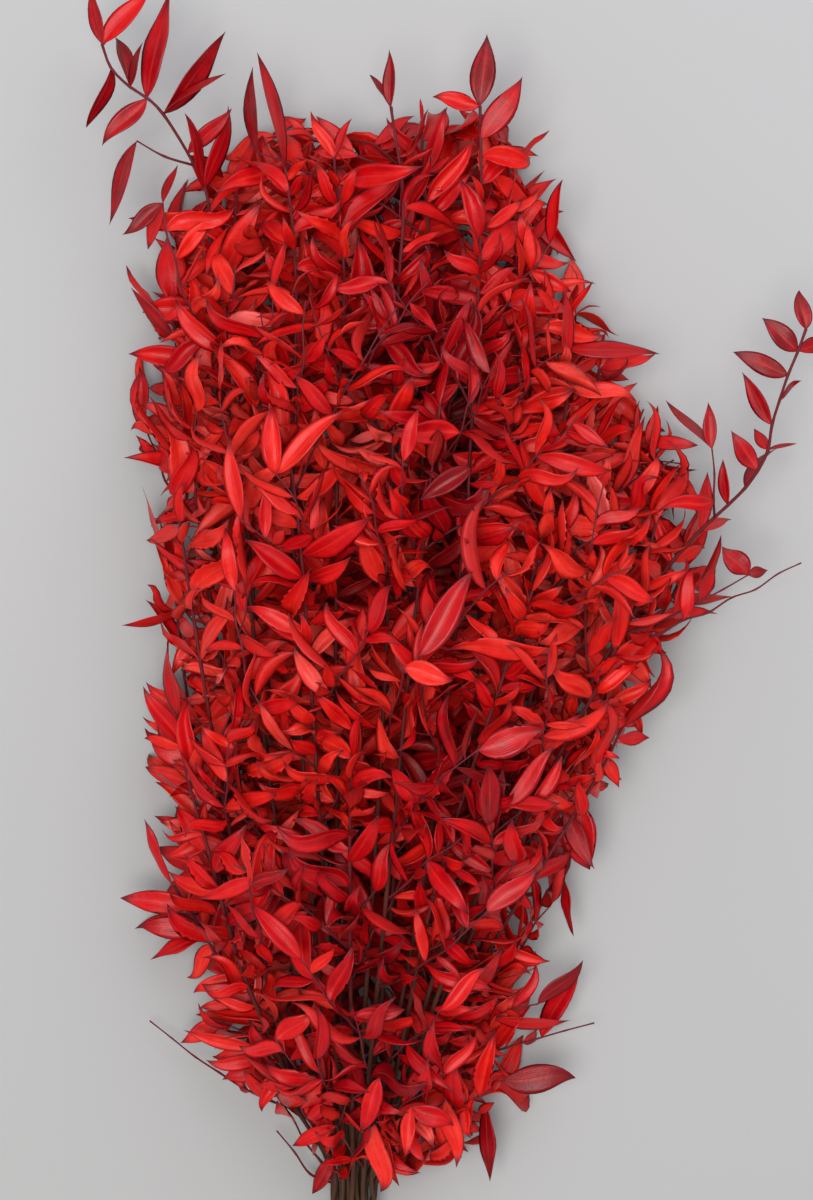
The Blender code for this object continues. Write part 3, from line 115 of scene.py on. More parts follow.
# Main stems from just above the tie to the tip: u, v, height in mm.
STEMS = {
    "sprig_01": ((318, 1080, 32), (286, 900, 62), (260, 700, 78), (240, 480, 78),
                 (222, 330, 64), (211, 250, 57), (209, 216, 56), (205, 188, 58),
                 (186, 150, 62), (163, 114, 65), (147, 98, 66), (130, 87, 66),
                 (111, 68, 65), (102, 44, 64)),
    "sprig_02": ((330, 1080, 42), (312, 900, 73), (300, 700, 96), (292, 480, 96),
                 (296, 320, 89), (293, 230, 80), (285, 168, 73)),
    "sprig_03": ((343, 1080, 32), (338, 900, 57), (336, 650, 84), (338, 420, 85),
                 (344, 280, 78), (334, 158, 66)),
    "sprig_04": ((360, 1080, 46), (372, 900, 80), (384, 700, 99), (392, 480, 97),
                 (398, 300, 89), (403, 200, 76), (391, 107, 66)),
    "sprig_05": ((372, 1080, 30), (392, 900, 51), (410, 650, 64), (425, 420, 66),
                 (429, 260, 62), (423, 162, 58), (421, 122, 56)),
    "sprig_06": ((385, 1080, 42), (420, 900, 69), (448, 700, 90), (468, 480, 90),
                 (478, 300, 83), (481, 180, 74), (480, 106, 69)),
    "sprig_07": ((393, 1080, 26), (440, 900, 40), (480, 700, 50), (508, 480, 50),
                 (519, 320, 48), (509, 168, 46)),
    "sprig_08": ((402, 1080, 44), (455, 900, 70), (505, 700, 90), (545, 520, 87),
                 (567, 400, 77), (564, 330, 69)),
    "sprig_09": ((412, 1080, 30), (476, 900, 46), (530, 700, 58), (572, 520, 58),
                 (592, 432, 54), (599, 370, 50)),
    "sprig_10": ((408, 1080, 54), (462, 930, 78), (536, 780, 84), (598, 670, 76),
                 (640, 604, 66), (672, 562, 60), (700, 531, 60), (728, 505, 63),
                 (745, 488, 66), (758, 470, 69), (768, 450, 71), (772, 425, 73),
                 (780, 399, 75), (788, 375, 76), (798, 351, 77), (806, 329, 78)),
    "sprig_11": ((421, 1080, 21), (490, 930, 26), (560, 780, 34), (620, 680, 38),
                 (664, 610, 38), (688, 566, 38)),
    "sprig_12": ((428, 1080, 36), (490, 950, 52), (552, 850, 70), (600, 772, 64),
                 (622, 728, 56)),
    "sprig_13": ((434, 1090, 20), (484, 1000, 22), (532, 920, 26), (566, 862, 30)),
    "sprig_14": ((308, 1080, 22), (262, 900, 35), (226, 700, 48), (196, 500, 50),
                 (180, 380, 46), (172, 306, 42)),
    "sprig_15": ((300, 1080, 38), (245, 900, 59), (207, 700, 76), (182, 540, 72),
                 (172, 452, 64)),
    "sprig_16": ((296, 1085, 20), (240, 930, 24), (202, 780, 30), (182, 660, 32),
                 (176, 596, 32)),
    "sprig_17": ((292, 1085, 45), (242, 970, 65), (208, 850, 79), (186, 770, 72),
                 (178, 716, 64)),
    "sprig_18": ((288, 1095, 28), (245, 1010, 35), (204, 934, 37), (174, 886, 33)),
    "sprig_19": ((338, 1080, 51), (325, 900, 88), (312, 700, 107), (300, 540, 107),
                 (288, 446, 105)),
    "sprig_20": ((368, 1080, 54), (386, 900, 92), (406, 700, 108), (426, 520, 108),
                 (440, 406, 105)),
    "sprig_21": ((394, 1080, 52), (425, 930, 87), (462, 800, 106), (502, 680, 107),
                 (532, 592, 105)),
    "sprig_22": ((352, 1080, 57), (350, 950, 92), (350, 820, 108), (354, 704, 110)),
    "sprig_23": ((314, 1080, 26), (284, 900, 44), (262, 700, 58), (244, 480, 62),
                 (234, 330, 60), (236, 196, 52)),
    "sprig_24": ((416, 1080, 39), (474, 930, 62), (546, 780, 82), (606, 670, 80),
                 (640, 584, 72), (656, 524, 64)),
}

# Leaves drawn one by one on a stem's last stretch: stem, u, v and height of
# the foot, then u, v and width (all sheet units) of the blade, and its rise.
DRAWN_ON_STEM = (
    ("sprig_01", 102, 44, ((91, -14, 12, 0), (151, -12, 18, 4), (83, 10, 6, -4))),
    ("sprig_01", 111, 68, ((86, 128, 9, -8),)),
    ("sprig_01", 130, 87, ((143, 42, 8, 6), (114, 41, 14, -6))),
    ("sprig_01", 147, 98, ((170, -9, 20, 6), (102, 146, 17, -4))),
    ("sprig_01", 163, 114, ((226, 31, 15, -6), (222, 82, 13, 2))),
    ("sprig_01", 205, 188, ((182, 112, 11, 16), (228, 105, 13, -4))),
    ("sprig_01", 209, 216, ((268, 160, 12, 3),)),
    ("sprig_01", 213, 256, ((178, 286, 14, 6),)),
    ("sprig_02", 285, 168, ((257, 52, 11, 2),)),
    ("sprig_03", 334, 158, ((312, 115, 13, 0), (352, 118, 10, -6))),
    ("sprig_04", 391, 107, ((389, 49, 13, 2), (366, 71, 8, -3))),
    ("sprig_05", 423, 162, ((386, 118, 14, 2),)),
    ("sprig_05", 421, 122, ((420, 98, 4, 0),)),
    ("sprig_06", 480, 106, ((487, 34, 26, 2), (432, 97, 18, -2))),
    ("sprig_06", 481, 142, ((523, 75, 25, -3),)),
    ("sprig_07", 509, 168, ((550, 130, 6, 0), (545, 233, 22, -6))),
    ("sprig_08", 564, 330, ((593, 281, 7, 0),)),
    ("sprig_08", 567, 366, ((560, 288, 15, 6),)),
    ("sprig_09", 599, 370, ((657, 353, 12, 0), (633, 379, 14, -4), (606, 330, 7, 4))),
    ("sprig_10", 806, 329, ((799, 290, 14, 0),)),
    ("sprig_10", 798, 351, ((762, 318, 18, 3), (832, 338, 16, -2))),
    ("sprig_10", 788, 375, ((733, 352, 17, 0),)),
    ("sprig_10", 780, 399, ((799, 384, 7, 2),)),
    ("sprig_10", 772, 425, ((742, 372, 13, 3),)),
    ("sprig_10", 768, 450, ((757, 421, 14, 0), (796, 443, 4, -3))),
    ("sprig_10", 758, 470, ((731, 430, 17, 2),)),
    ("sprig_10", 745, 488, ((770, 449, 9, -3),)),
    ("sprig_10", 728, 505, ((723, 459, 9, 3),)),
    ("sprig_10", 700, 531, ((707, 472, 15, -4), (733, 523, 11, -2))),
    ("sprig_10", 672, 562, ((709, 546, 15, -14), (653, 512, 14, 3))),
)

# Leaves drawn one by one on side twigs: where the twig ends (u, v, height in
# mm), the blades there (tip u, v, width, rise) and how much of the twig's end
# stays bare, in sheet units.
DRAWN_TWIGS = (
    ((712, 449, 88), ((708, 402, 12, 0), (670, 396, 12, -3)), 0, "sprig_10"),
    ((163, 203, 66), ((122, 235, 14, -3), (147, 251, 14, -14), (178, 164, 8, 2)), 0, "sprig_01"),
    ((229, 226, 62), ((204, 280, 14, 6),), 0, ""),
    ((262, 152, 68), ((253, 66, 12, 2),), 0, ""),
    ((137, 141, 62), ((109, 226, 15, -5),), 0, "sprig_01"),
    ((640, 498, 74), ((658, 455, 17, 2),), 0, ""),
    ((650, 514, 64), ((682, 468, 12, 0),), 0, ""),
    ((550, 244, 56), ((563, 179, 11, 0),), 0, ""),
    ((594, 440, 60), ((625, 396, 9, 2),), 0, ""),
    ((205, 308, 40), ((142, 312, 26, -3),), 0, ""),
    ((168, 322, 30), ((126, 265, 6, 0),), 0, ""),
    ((200, 356, 46), ((128, 354, 22, -4),), 0, ""),
    ((190, 456, 50), ((170, 380, 16, 0),), 0, ""),
    ((200, 472, 36), ((127, 463, 22, -3),), 0, ""),
    ((176, 576, 28), ((142, 486, 8, -2),), 0, ""),
    ((188, 590, 40), ((158, 514, 14, -2),), 0, ""),
    ((186, 609, 38), ((154, 546, 16, 2), (123, 618, 11, -6)), 0, ""),
    ((200, 726, 44), ((146, 682, 22, -2),), 0, ""),
    ((196, 744, 34), ((142, 716, 13, -4),), 0, ""),
    ((205, 771, 56), ((150, 737, 24, -4),), 0, ""),
    ((203, 816, 30), ((155, 782, 14, -3),), 0, ""),
    ((214, 874, 44), ((168, 818, 17, 2), (155, 848, 28, -4)), 0, ""),
    ((192, 905, 40), ((120, 898, 20, -6),), 0, ""),
    ((198, 924, 26), ((128, 922, 16, -8),), 0, ""),
    ((252, 1000, 46), ((202, 984, 24, -3),), 0, ""),
    ((222, 1022, 30), ((180, 1043, 16, -4),), 0, ""),
    ((150, 1021, 12), (), 60, ""),
    ((255, 1050, 36), ((213, 1059, 14, -5),), 0, ""),
    ((300, 1086, 58), ((254, 1083, 13, -8),), 0, ""),
    ((277, 1131, 14), (), 40, ""),
    ((336, 1126, 56), ((292, 1146, 16, -12),), 0, ""),
    ((376, 1124, 66), ((380, 1192, 22, -22), (399, 1184, 12, -24)), 0, ""),
    ((350, 1112, 68), ((352, 1172, 18, -20),), 0, ""),
    ((412, 1106, 70), ((404, 1152, 20, -16), (454, 1126, 22, -6)), 0, ""),
    ((322, 1094, 66), ((302, 1122, 14, -8), (330, 1148, 16, -14)), 0, ""),
    ((372, 1084, 82), ((360, 1132, 20, -10),), 0, ""),
    ((446, 1100, 54), ((456, 1168, 20, -10),), 0, ""),
    ((486, 1106, 30), ((490, 1182, 14, -6),), 0, ""),
    ((504, 1080, 40), ((576, 1078, 25, -4),), 0, ""),
    ((538, 1004, 40), ((583, 960, 14, 0),), 0, ""),
    ((502, 948, 52), ((552, 960, 13, -4),), 0, ""),
    ((594, 1023, 16), (), 56, ""),
    ((571, 800, 40), ((590, 870, 32, -8),), 0, ""),
    ((562, 880, 28), ((574, 937, 7, -6),), 0, ""),
    ((603, 755, 46), ((619, 788, 13, -5),), 0, ""),
    ((612, 707, 50), ((651, 678, 16, 2), (637, 726, 18, -3)), 0, ""),
    ((632, 640, 46), ((656, 678, 8, -3), (674, 626, 12, 2)), 0, ""),
    ((672, 600, 34), ((718, 614, 6, -3),), 0, ""),
    ((748, 575, 60), ((722, 546, 20, 3), (768, 570, 10, -2)), 30, "sprig_10"),
    ((801, 563, 58), (), 50, "sprig_10"),
    ((276, 474, 138), ((271, 405, 20, 6), (346, 411, 20, 6)), 0, ""),
    ((241, 520, 122), ((229, 438, 18, 4),), 0, ""),
    ((419, 656, 148), ((473, 571, 28, 4),), 0, ""),
    ((549, 648, 130), ((443, 652, 20, 8),), 0, ""),
    ((478, 750, 138), ((546, 730, 30, 2),), 0, ""),
    ((404, 668, 148), ((454, 680, 22, 2),), 0, ""),
    ((487, 912, 118), ((537, 868, 23, 0),), 0, ""),
    ((440, 1010, 100), ((489, 967, 17, 2),), 0, ""),
    ((276, 1040, 84), ((316, 1010, 22, 6),), 0, ""),
    ((355, 1016, 104), ((406, 1008, 14, 4),), 0, ""),
    ((470, 468, 140), ((420, 500, 20, 4),), 0, ""),
)

# Deep places between the sprigs: u, v, half widths, and height of the floor in mm. Blades low down in them
# get painted shade in tone_of.
HOLLOWS = (
    (362, 126, 32, 34, 0), (385, 345, 22, 24, 66), (465, 430, 22, 58, 66), (452, 548, 15, 34, 72),
    (376, 1060, 28, 25, 30), (384, 895, 24, 26, 44), (416, 750, 19, 20, 70),
    (345, 580, 15, 20, 82), (402, 216, 28, 34, 54), (225, 800, 15, 38, 44),
    (372, 992, 26, 18, 44), (434, 985, 13, 26, 44), (520, 500, 14, 18, 66),
)

TWIG_LEAVES = 1030     # blades placed before the second ones at a node
LEAF_TOTAL = 1290
LEAVES_PER_SPRIG = 70


def at(u, v, mm):
    """A point of the sheet at a height in mm, in metres."""
    z = mm / 1000
    k = UNIT * (EYE + MID - z) / EYE
    return Vector(((u - SHEET_U) * k, (SHEET_V - v) * k, z))


def on_sheet(p):
    k = UNIT * (EYE + MID - p.z) / EYE
    return p.x / k + SHEET_U, SHEET_V - p.y / k


def outline(v):
    """Left edge, right edge and height of the leafy mass at v, or None."""
    if v < OUTLINE[0][0] or v > OUTLINE[-1][0]:
        return None
    for low, high in zip(OUTLINE, OUTLINE[1:]):
        if v <= high[0]:
            t = (v - low[0]) / (high[0] - low[0])
            return [low[i] + (high[i] - low[i]) * t for i in (1, 2, 3)]
    return None


def roof(u, v, spare=0.0):
    """Height in mm of the leafy mass over a point of the sheet, or None."""
    edges = outline(v)
    if edges is None:
        return None
    middle, half = (edges[0] + edges[1]) / 2, (edges[1] - edges[0]) / 2 + spare
    s = abs(u - middle) / half
    if s >= 1:
        return None
    return EDGE_H + (edges[2] - EDGE_H) * (1 - s**2.6) ** 0.55


def inside(p, spare=6.0, lift=5.0):
    u, v = on_sheet(p)
    top = roof(u, v, spare)
    return top is not None and -0.0005 <= p.z <= (top + lift) / 1000


def hollow(p):
    """Whether a point is in one of the deep places."""
    u, v = on_sheet(p)
    return any(
        p.z * 1000 > floor and ((u - cu) / wu) ** 2 + ((v - cv) / wv) ** 2 < 1
        for cu, cv, wu, wv, floor in HOLLOWS
    )


def spline(points, step, lead=None):
    """A smooth curve through the points, sampled about every step."""
    lead = points[0] * 2 - points[1] if lead is None else lead
    line = [lead, *points, points[-1] * 2 - points[-2]]
    out = [points[0].copy()]
    for a, b, c, d in zip(line, line[1:], line[2:], line[3:]):
        n = max(1, round((c - b).length / step))
        for k in range(1, n + 1):
            t = k / n
            out.append(
                0.5 * ((2 * b) + (c - a) * t + (2 * a - 5 * b + 4 * c - d) * t * t
                       + (3 * b - a - 3 * c + d) * t**3)
            )
    return out


def square_to(v, axis):
    """v less its part along axis, as a unit vector."""
    w = v - axis * v.dot(axis)
    if w.length < 1e-6:
        w = axis.orthogonal()
    return w.normalized()


class Room:
    """Solids placed so far, so that a new one can be kept clear of them."""

    CELL = 0.025

    def __init__(self):
        self.cells = {}
        self.items = []

    def keys(self, low, high):
        ranges = [
            range(math.floor(low[i] / self.CELL), math.floor(high[i] / self.CELL) + 1)
            for i in range(3)
        ]
        return [(i, j, k) for i in ranges[0] for j in ranges[1] for k in ranges[2]]

    @staticmethod
    def box(points):
        return (
            [min(p[i] for p in points) for i in range(3)],
            [max(p[i] for p in points) for i in range(3)],
        )

    def free(self, shape, skip=(), only=None):
        points, faces = shape
        low, high = self.box(points)
        tree = None
        seen = set()
        for key in self.keys(low, high):
            for index in self.cells.get(key, ()):
                if index in seen:
                    continue
                seen.add(index)
                tag, lo, hi, other = self.items[index]
                if tag in skip or (only is not None and tag not in only):
                    continue
                if any(lo[i] > high[i] or hi[i] < low[i] for i in range(3)):
                    continue
                if tree is None:
                    tree = BVHTree.FromPolygons(points, faces)
                if tree.overlap(other):
                    return False
        return True

    def put(self, tag, shape):
        points, faces = shape
        low, high = self.box(points)
        index = len(self.items)
        self.items.append((tag, low, high, BVHTree.FromPolygons(points, faces)))
        for key in self.keys(low, high):
            self.cells.setdefault(key, []).append(index)


def rod(a, b, radius, sides=4):
    """A closed prism round the line from a to b."""
    t = (b - a).normalized()
    x = square_to(Vector((0.3, 0.2, 0.9)), t)
    y = t.cross(x)
    ring = [
        x * (radius * math.cos(math.tau * k / sides))
        + y * (radius * math.sin(math.tau * k / sides))
        for k in range(sides)
    ]
    points = [a + w for w in ring] + [b + w for w in ring]
    faces = [(k, (k + 1) % sides, (k + 1) % sides + sides, k + sides) for k in range(sides)]
    faces += [tuple(range(sides))[::-1], tuple(range(sides, 2 * sides))]
    return points, faces


class Leaf:
    """One flattened, pointed blade on its short stalk."""

    def __init__(self, foot, tip, normal, width, arch, seed):
        self.foot = foot.copy()
        self.tip = tip.copy()
        self.length = (tip - foot).length
        self.d = (tip - foot).normalized()
        self.n = square_to(normal, self.d)
        self.s = self.d.cross(self.n)
        self.width = width
        self.arch = arch
        self.seed = seed
        self.drawn = False

    def spine(self, t):
        return (
            self.foot + self.d * (self.length * t)
            + self.n * (self.arch * self.length * 4 * t * (1 - t))
        )

    def sleeve(self, begin, spare):
        """The leaf from begin along its length, a little larger all round."""
        c = self.spine(LEAF_WIDE_AT)
        half = self.width / 2 + spare
        share = begin / LEAF_WIDE_AT
        root = self.foot.lerp(c, share)
        near = 0.0012 + spare * 0.3 + (half - 0.0012) * share
        thick = 0.0012 + spare * 0.3
        edge = self.n * (0.4 * LEAF_T)
        points = [
            root + self.s * near + edge * share,
            root - self.n * thick,
            root - self.s * near + edge * share,
            root + self.n * thick,
            c + self.s * half + edge,
            c - self.n * (0.6 * LEAF_T + spare * 1.1),
            c - self.s * half + edge,
            c + self.n * (0.4 * LEAF_T + spare * 1.1),
            self.tip + self.d * (spare * 1.3),
        ]
        faces = [(2, 1, 0), (3, 2, 0)]
        for i in range(4):
            j = (i + 1) % 4
            faces += [(i, j, j + 4), (i, j + 4, i + 4), (i + 4, j + 4, 8)]
        return points, faces

    def shape(self):
        """What keeps other pieces away from the leaf."""
        return self.sleeve(0.03, 0.0008)

    def blade(self):
        """The leaf without its stalk end, for keeping it off its own twig."""
        return self.sleeve(0.13, 0.0005)

    def corners(self):
        c = self.spine(LEAF_WIDE_AT)
        return [c + self.s * (self.width / 2), c - self.s * (self.width / 2),
                c - self.n * (LEAF_T * 0.6), self.tip]


class Twig:
    """A row of nodes; leaves and side twigs hang on node numbers."""

    def __init__(self, tag, nodes, radii, parent=None):
        self.tag = tag
        self.nodes = nodes
        self.radii = radii
        self.parent = parent          # (twig, node number)
        self.leaves = {}              # node number: [Leaf, ...]
        self.twigs = {}               # node number: [Twig, ...]

    def aim(self, k):
        a = self.nodes[max(0, k - 1)]
        b = self.nodes[min(len(self.nodes) - 1, k + 1)]
        return (b - a).normalized()


class Bunch:
    def __init__(self):
        self.rng = random.Random(SEED)
        self.room = Room()
        self.stems = {}
        self.heat = {}
        self.count = 0
        self.per = {}
        self.notes = []

    # ---- density of the blades, in cells of the bunch --------------------
    HEAT = 0.022

    def cell(self, p):
        return tuple(math.floor(p[i] / self.HEAT) for i in range(3))

    def warm(self, leaf, sign=1.0):
        area = leaf.length * leaf.width * 0.62 * 1e6
        for t, part in ((0.2, 0.25), (0.5, 0.5), (0.8, 0.25)):
            key = self.cell(leaf.spine(t))
            self.heat[key] = self.heat.get(key, 0.0) + area * part * sign

    def heat_at(self, p):
        i, j, k = self.cell(p)
        total = 0.0
        for di in (-1, 0, 1):
            for dj in (-1, 0, 1):
                for dk in (-1, 0, 1):
                    far = abs(di) + abs(dj) + abs(dk)
                    total += self.heat.get((i + di, j + dj, k + dk), 0.0) / (1 + far)
        return total

    @staticmethod
    def crown(v):
        """Less than 1 where more blades are wanted: at the tips and over the neck."""
        value = 0.42 + 0.73 * min(1.0, max(0.0, (v - 140) / 700.0))
        return value - 0.62 * min(1.0, max(0.0, (v - 930) / 140.0))

    # ---- main stems ------------------------------------------------------
    def lay_stems(self):
        names = sorted(STEMS)
        spots = []
        for row in range(-3, 4):
            for col in range(-3, 4):
                x = (col + 0.5 * (row % 2)) * STEM_PITCH
                z = row * STEM_PITCH * 0.866
                spots.append((math.hypot(x, z * 1.04), x, z))
        spots = [(x, z) for _, x, z in sorted(spots)[: len(names)]]
        low = min(z for _, z in spots)
        lift = BAND_T + GAP + 0.0021 + REST - low
        middle = at(TIE_U, TIE_V, 15).x
        wants = []
        for name in names:
            first, second = STEMS[name][0], STEMS[name][1]
            wants.append(((first[0] * 0.6 + second[0] * 0.4 - 352) * 0.06 * 0.001,
                          (first[2] * 0.6 + second[2] * 0.4 - 60) * 0.22 * 0.001))
        order = list(range(len(names)))

        def cost(i, j):
            return (wants[i][0] - spots[j][0]) ** 2 + (wants[i][1] - spots[j][1]) ** 2

        changed = True
        while changed:
            changed = False
            for a in range(len(order)):
                for b in range(a + 1, len(order)):
                    if (cost(a, order[b]) + cost(b, order[a])
                            < cost(a, order[a]) + cost(b, order[b]) - 1e-12):
                        order[a], order[b] = order[b], order[a]
                        changed = True
        tie_y = at(TIE_U, TIE_V, 15).y
        self.tie = (middle, tie_y, [(middle + x, lift + z) for x, z in spots])
        lines, held = {}, {}
        for i, name in enumerate(names):
            x, z = spots[order[i]]
            spread = 1.0 + self.rng.uniform(0.1, 0.28)
            cut_y = at(TIE_U, CUT_V + self.rng.uniform(-12, 9), 15).y
            z_cut = REST + 0.0015 + (lift + z - low - lift) * spread
            cut = Vector((middle + x * spread, cut_y, z_cut))
            below = Vector((middle + x, tie_y - 0.006, lift + z))
            above = Vector((middle + x, tie_y + 0.006, lift + z))
            first = STEMS[name][0]
            near = at(352 + (first[0] - 352) * 0.27, 1172, (lift + z) * 1000 * 0.75 + first[2] * 0.25)
            marks = [at(*w) for w in STEMS[name]]
            steps = max(2, round((below - cut).length / 0.005))
            line = [cut.lerp(below, i / steps) for i in range(steps)] + [below]
            held[name] = len(line)
            line += spline([above, near] + marks, 0.005,
                           above - Vector((0, (near - above).length, 0)))
            lines[name] = line
        radii = {}
        for name, line in lines.items():
            total = len(line) - 1
            radii[name] = [
                STEM_R + (STEM_TIP_R - STEM_R)
                * min(1.0, max(0.0, (k / total - 0.1) / 0.85)) ** 1.2
                for k in range(total + 1)
            ]
        self.ease_apart(lines, radii, held)
        for name, line in lines.items():
            twig = Twig(name, line, radii[name], None)
            twig.slots = set()
            total = len(line) - 1
            for k in range(0, total, 2):
                stop = min(total, k + 2)
                self.room.put((name, k), rod(line[k], line[stop],
                                             twig.radii[k] * 1.25 + 0.0008, 6))
            self.stems[name] = twig

    def ease_apart(self, lines, radii, held):
        """Push the stems off one another above the tie, a little at a time."""
        names = sorted(lines)
        for turn in range(90):
            owner = [(name, k) for name in names for k in range(len(lines[name]))]
            tree = KDTree(len(owner))
            for index, (name, k) in enumerate(owner):
                tree.insert(lines[name][k], index)
            tree.balance()
            worst, where = 0.0, None
            moves = {}
            for name in names:
                line = lines[name]
                push = [Vector((0, 0, 0)) for _ in line]
                for k in range(held[name], len(line)):
                    p = line[k]
                    closest = {}
                    for _, index, _ in tree.find_range(p, 0.0085):
                        other, j = owner[index]
                        if other == name:
                            continue
                        there = lines[other]
                        for a, b in ((j - 1, j), (j, j + 1)):
                            if a < 0 or b >= len(there):
                                continue
                            q, f = intersect_point_line(p, there[a], there[b])
                            q = there[a].lerp(there[b], min(1.0, max(0.0, f)))
                            gap = (p - q).length
                            if gap < closest.get(other, (1.0,))[0]:
                                closest[other] = (gap, q, j)
                    for other, (gap, q, j) in closest.items():
                        need = 1.25 * (radii[name][k] + radii[other][j]) + 0.0009
                        if k < held[name] + 8:
                            need = min(need, STEM_PITCH)
                        if gap < need:
                            if need - gap > worst:
                                worst, where = need - gap, (name, k, other, j, on_sheet(p))
                            away = (p - q) if gap > 1e-5 else Vector((0, 0, 1))
                            push[k] += away.normalized() * (need - gap) * 0.6
                moves[name] = push
            if worst < 0.0001:
                break
            for name in names:
                line, push = lines[name], moves[name]
                for k in range(held[name] + 1, len(line)):
                    total, weight = Vector((0, 0, 0)), 0.0
                    for step, part in ((-3, 1), (-2, 2), (-1, 3), (0, 4), (1, 3), (2, 2), (3, 1)):
                        if held[name] <= k + step < len(line):
                            total += push[k + step] * part
                            weight += part
                    ramp = min(1.0, (k - held[name]) / 3)
                    line[k] = line[k] + total * (2.0 / weight) * ramp
                    line[k].z = max(line[k].z, REST + 0.0024)
        if worst > 0.0004:
            self.notes.append("stems %.2f mm too close %s" % (worst * 1000, where))

    @staticmethod
    def near(twig, p):
        return min(range(len(twig.nodes)), key=lambda k: (twig.nodes[k] - p).length_squared)

    def stem_skip(self, name, k, reach=3):
        k0 = k - k % 2
        return {(name, k0 + 2 * i) for i in range(-reach, reach + 1)}

    # ---- leaves ----------------------------------------------------------
    def outward(self, p):
        """The way out of the bunch at a point: mostly up, sideways at the rim."""
        u, v = on_sheet(p)
        edges = outline(min(max(v, OUTLINE[0][0]), OUTLINE[-1][0]))
        s = (u - (edges[0] + edges[1]) / 2) / max(30.0, (edges[1] - edges[0]) / 2)
        w = Vector((s * 0.9, 0.12, 0.9 if p.z > 0.03 else 0.55))
        return w.normalized()

    def add_leaf(self, twig, k, leaf, skip, name, drawn=False):
        if any(p.z < REST - 1e-6 for p in leaf.corners()):
            return False
        if not drawn:
            spare = 5 + 16 * leaf.seed**3
            if not all(inside(p, spare, 7) for p in leaf.corners()[:2] + [leaf.tip]):
                return False
            if hollow(leaf.spine(0.5)) or hollow(leaf.tip):
                return False
        if any(leaf.d.dot(other.d) > 0.76 for other in twig.leaves.get(k, ())):
            return False
        mates = ("leaf", twig.tag, k)
        if not self.room.free(leaf.shape(), set(skip) | {mates}):
            return False
        if not self.room.free(leaf.blade(), (), set(skip) | {mates}):
            return False
        self.count += 1
        leaf.drawn = drawn
        self.room.put(mates, leaf.shape())
        twig.leaves.setdefault(k, []).append(leaf)
        self.warm(leaf)
        self.per[name] = self.per.get(name, 0) + 1
        return True

    def drawn_leaf(self, foot, mark, z):
        """The blade from a foot to a drawn tip, rolled so that it shows its drawn width."""
        u, v, wide, rise = mark
        tip = at(u, v, max(1.5, z * 1000 + rise))
        length = (tip - foot).length
        shown = wide * UNIT
        real = max(shown, min(0.0145, length * 0.25))
        roll = math.acos(min(1.0, shown / real))
        d = (tip - foot).normalized()
        up = square_to(Vector((0, 0, 1)), d)
        side = d.cross(up)
        n = up * math.cos(roll) + side * math.sin(roll) * self.rng.choice((-1, 1))
        return Leaf(foot, tip, n, real, self.rng.uniform(0.0, 0.05), self.rng.random())

    def try_drawn(self, twig, k, mark, skip, name):
        foot = twig.nodes[k]
        for turn in range(110):
            w = turn / 109
            jog = (
                mark[0] + self.rng.uniform(-9, 9) * w,
                mark[1] + self.rng.uniform(-9, 9) * w,
                mark[2] * (1 - 0.3 * w),
                mark[3] + self.rng.uniform(-28, 28) * w,
            )
            leaf = self.drawn_leaf(foot, jog, foot.z)
            if self.add_leaf(twig, k, leaf, skip, name, True):
                return True
        self.notes.append("drawn leaf %s to %s,%s left out" % (name, mark[0], mark[1]))
        return False

    def wild_leaf(self, twig, k, side, plane, name, skip, tries=14, big=1.0):
        """A leaf on a node, on the given side of the twig."""
        foot, t = twig.nodes[k], twig.aim(k)
        lateral = square_to(t.cross(plane), t) * side
        for turn in range(tries):
            spread = math.radians(self.rng.triangular(24, 104, 44))
            lean = math.radians(self.rng.uniform(-58, 58))
            out = lateral * math.cos(lean) + plane * math.sin(lean)
            d = t * math.cos(spread) + square_to(out, t) * math.sin(spread)
            length = self.rng.triangular(0.025, 0.056, 0.039) * big * (1 - 0.012 * turn)
            width = min(0.0155, length * self.rng.uniform(0.23, 0.34))
            roll = math.radians(self.rng.gauss(0, 46))
            face = square_to(self.outward(foot) * 0.75 + plane * 0.6, d)
            n = face * math.cos(roll) + d.cross(face) * math.sin(roll)
            tip = foot + d * length
            tip.z = max(tip.z, REST)
            leaf = Leaf(foot, tip, n, width, self.rng.uniform(-0.05, 0.13), self.rng.random())
            if leaf.d.dot(t) > 0.93:
                continue
            if self.add_leaf(twig, k, leaf, skip, name):
                return True
        return False

    def end_leaf(self, twig, plane, name, skip, tries=14):
        """The leaf that ends a twig."""
        k = len(twig.nodes) - 1
        foot, t = twig.nodes[k], twig.aim(k)
        for turn in range(tries):
            d = (t + Vector([self.rng.uniform(-0.35, 0.35) for _ in range(3)])).normalized()
            length = self.rng.triangular(0.028, 0.054, 0.040)
            width = length * self.rng.uniform(0.24, 0.34)
            roll = math.radians(self.rng.gauss(0, 40))
            face = square_to(self.outward(foot) * 0.75 + plane * 0.6, d)
            n = face * math.cos(roll) + d.cross(face) * math.sin(roll)
            tip = foot + d * length
            tip.z = max(tip.z, REST)
            leaf = Leaf(foot, tip, n, width, self.rng.uniform(-0.05, 0.13), self.rng.random())
            if self.add_leaf(twig, k, leaf, skip, name):
                return True
        return False

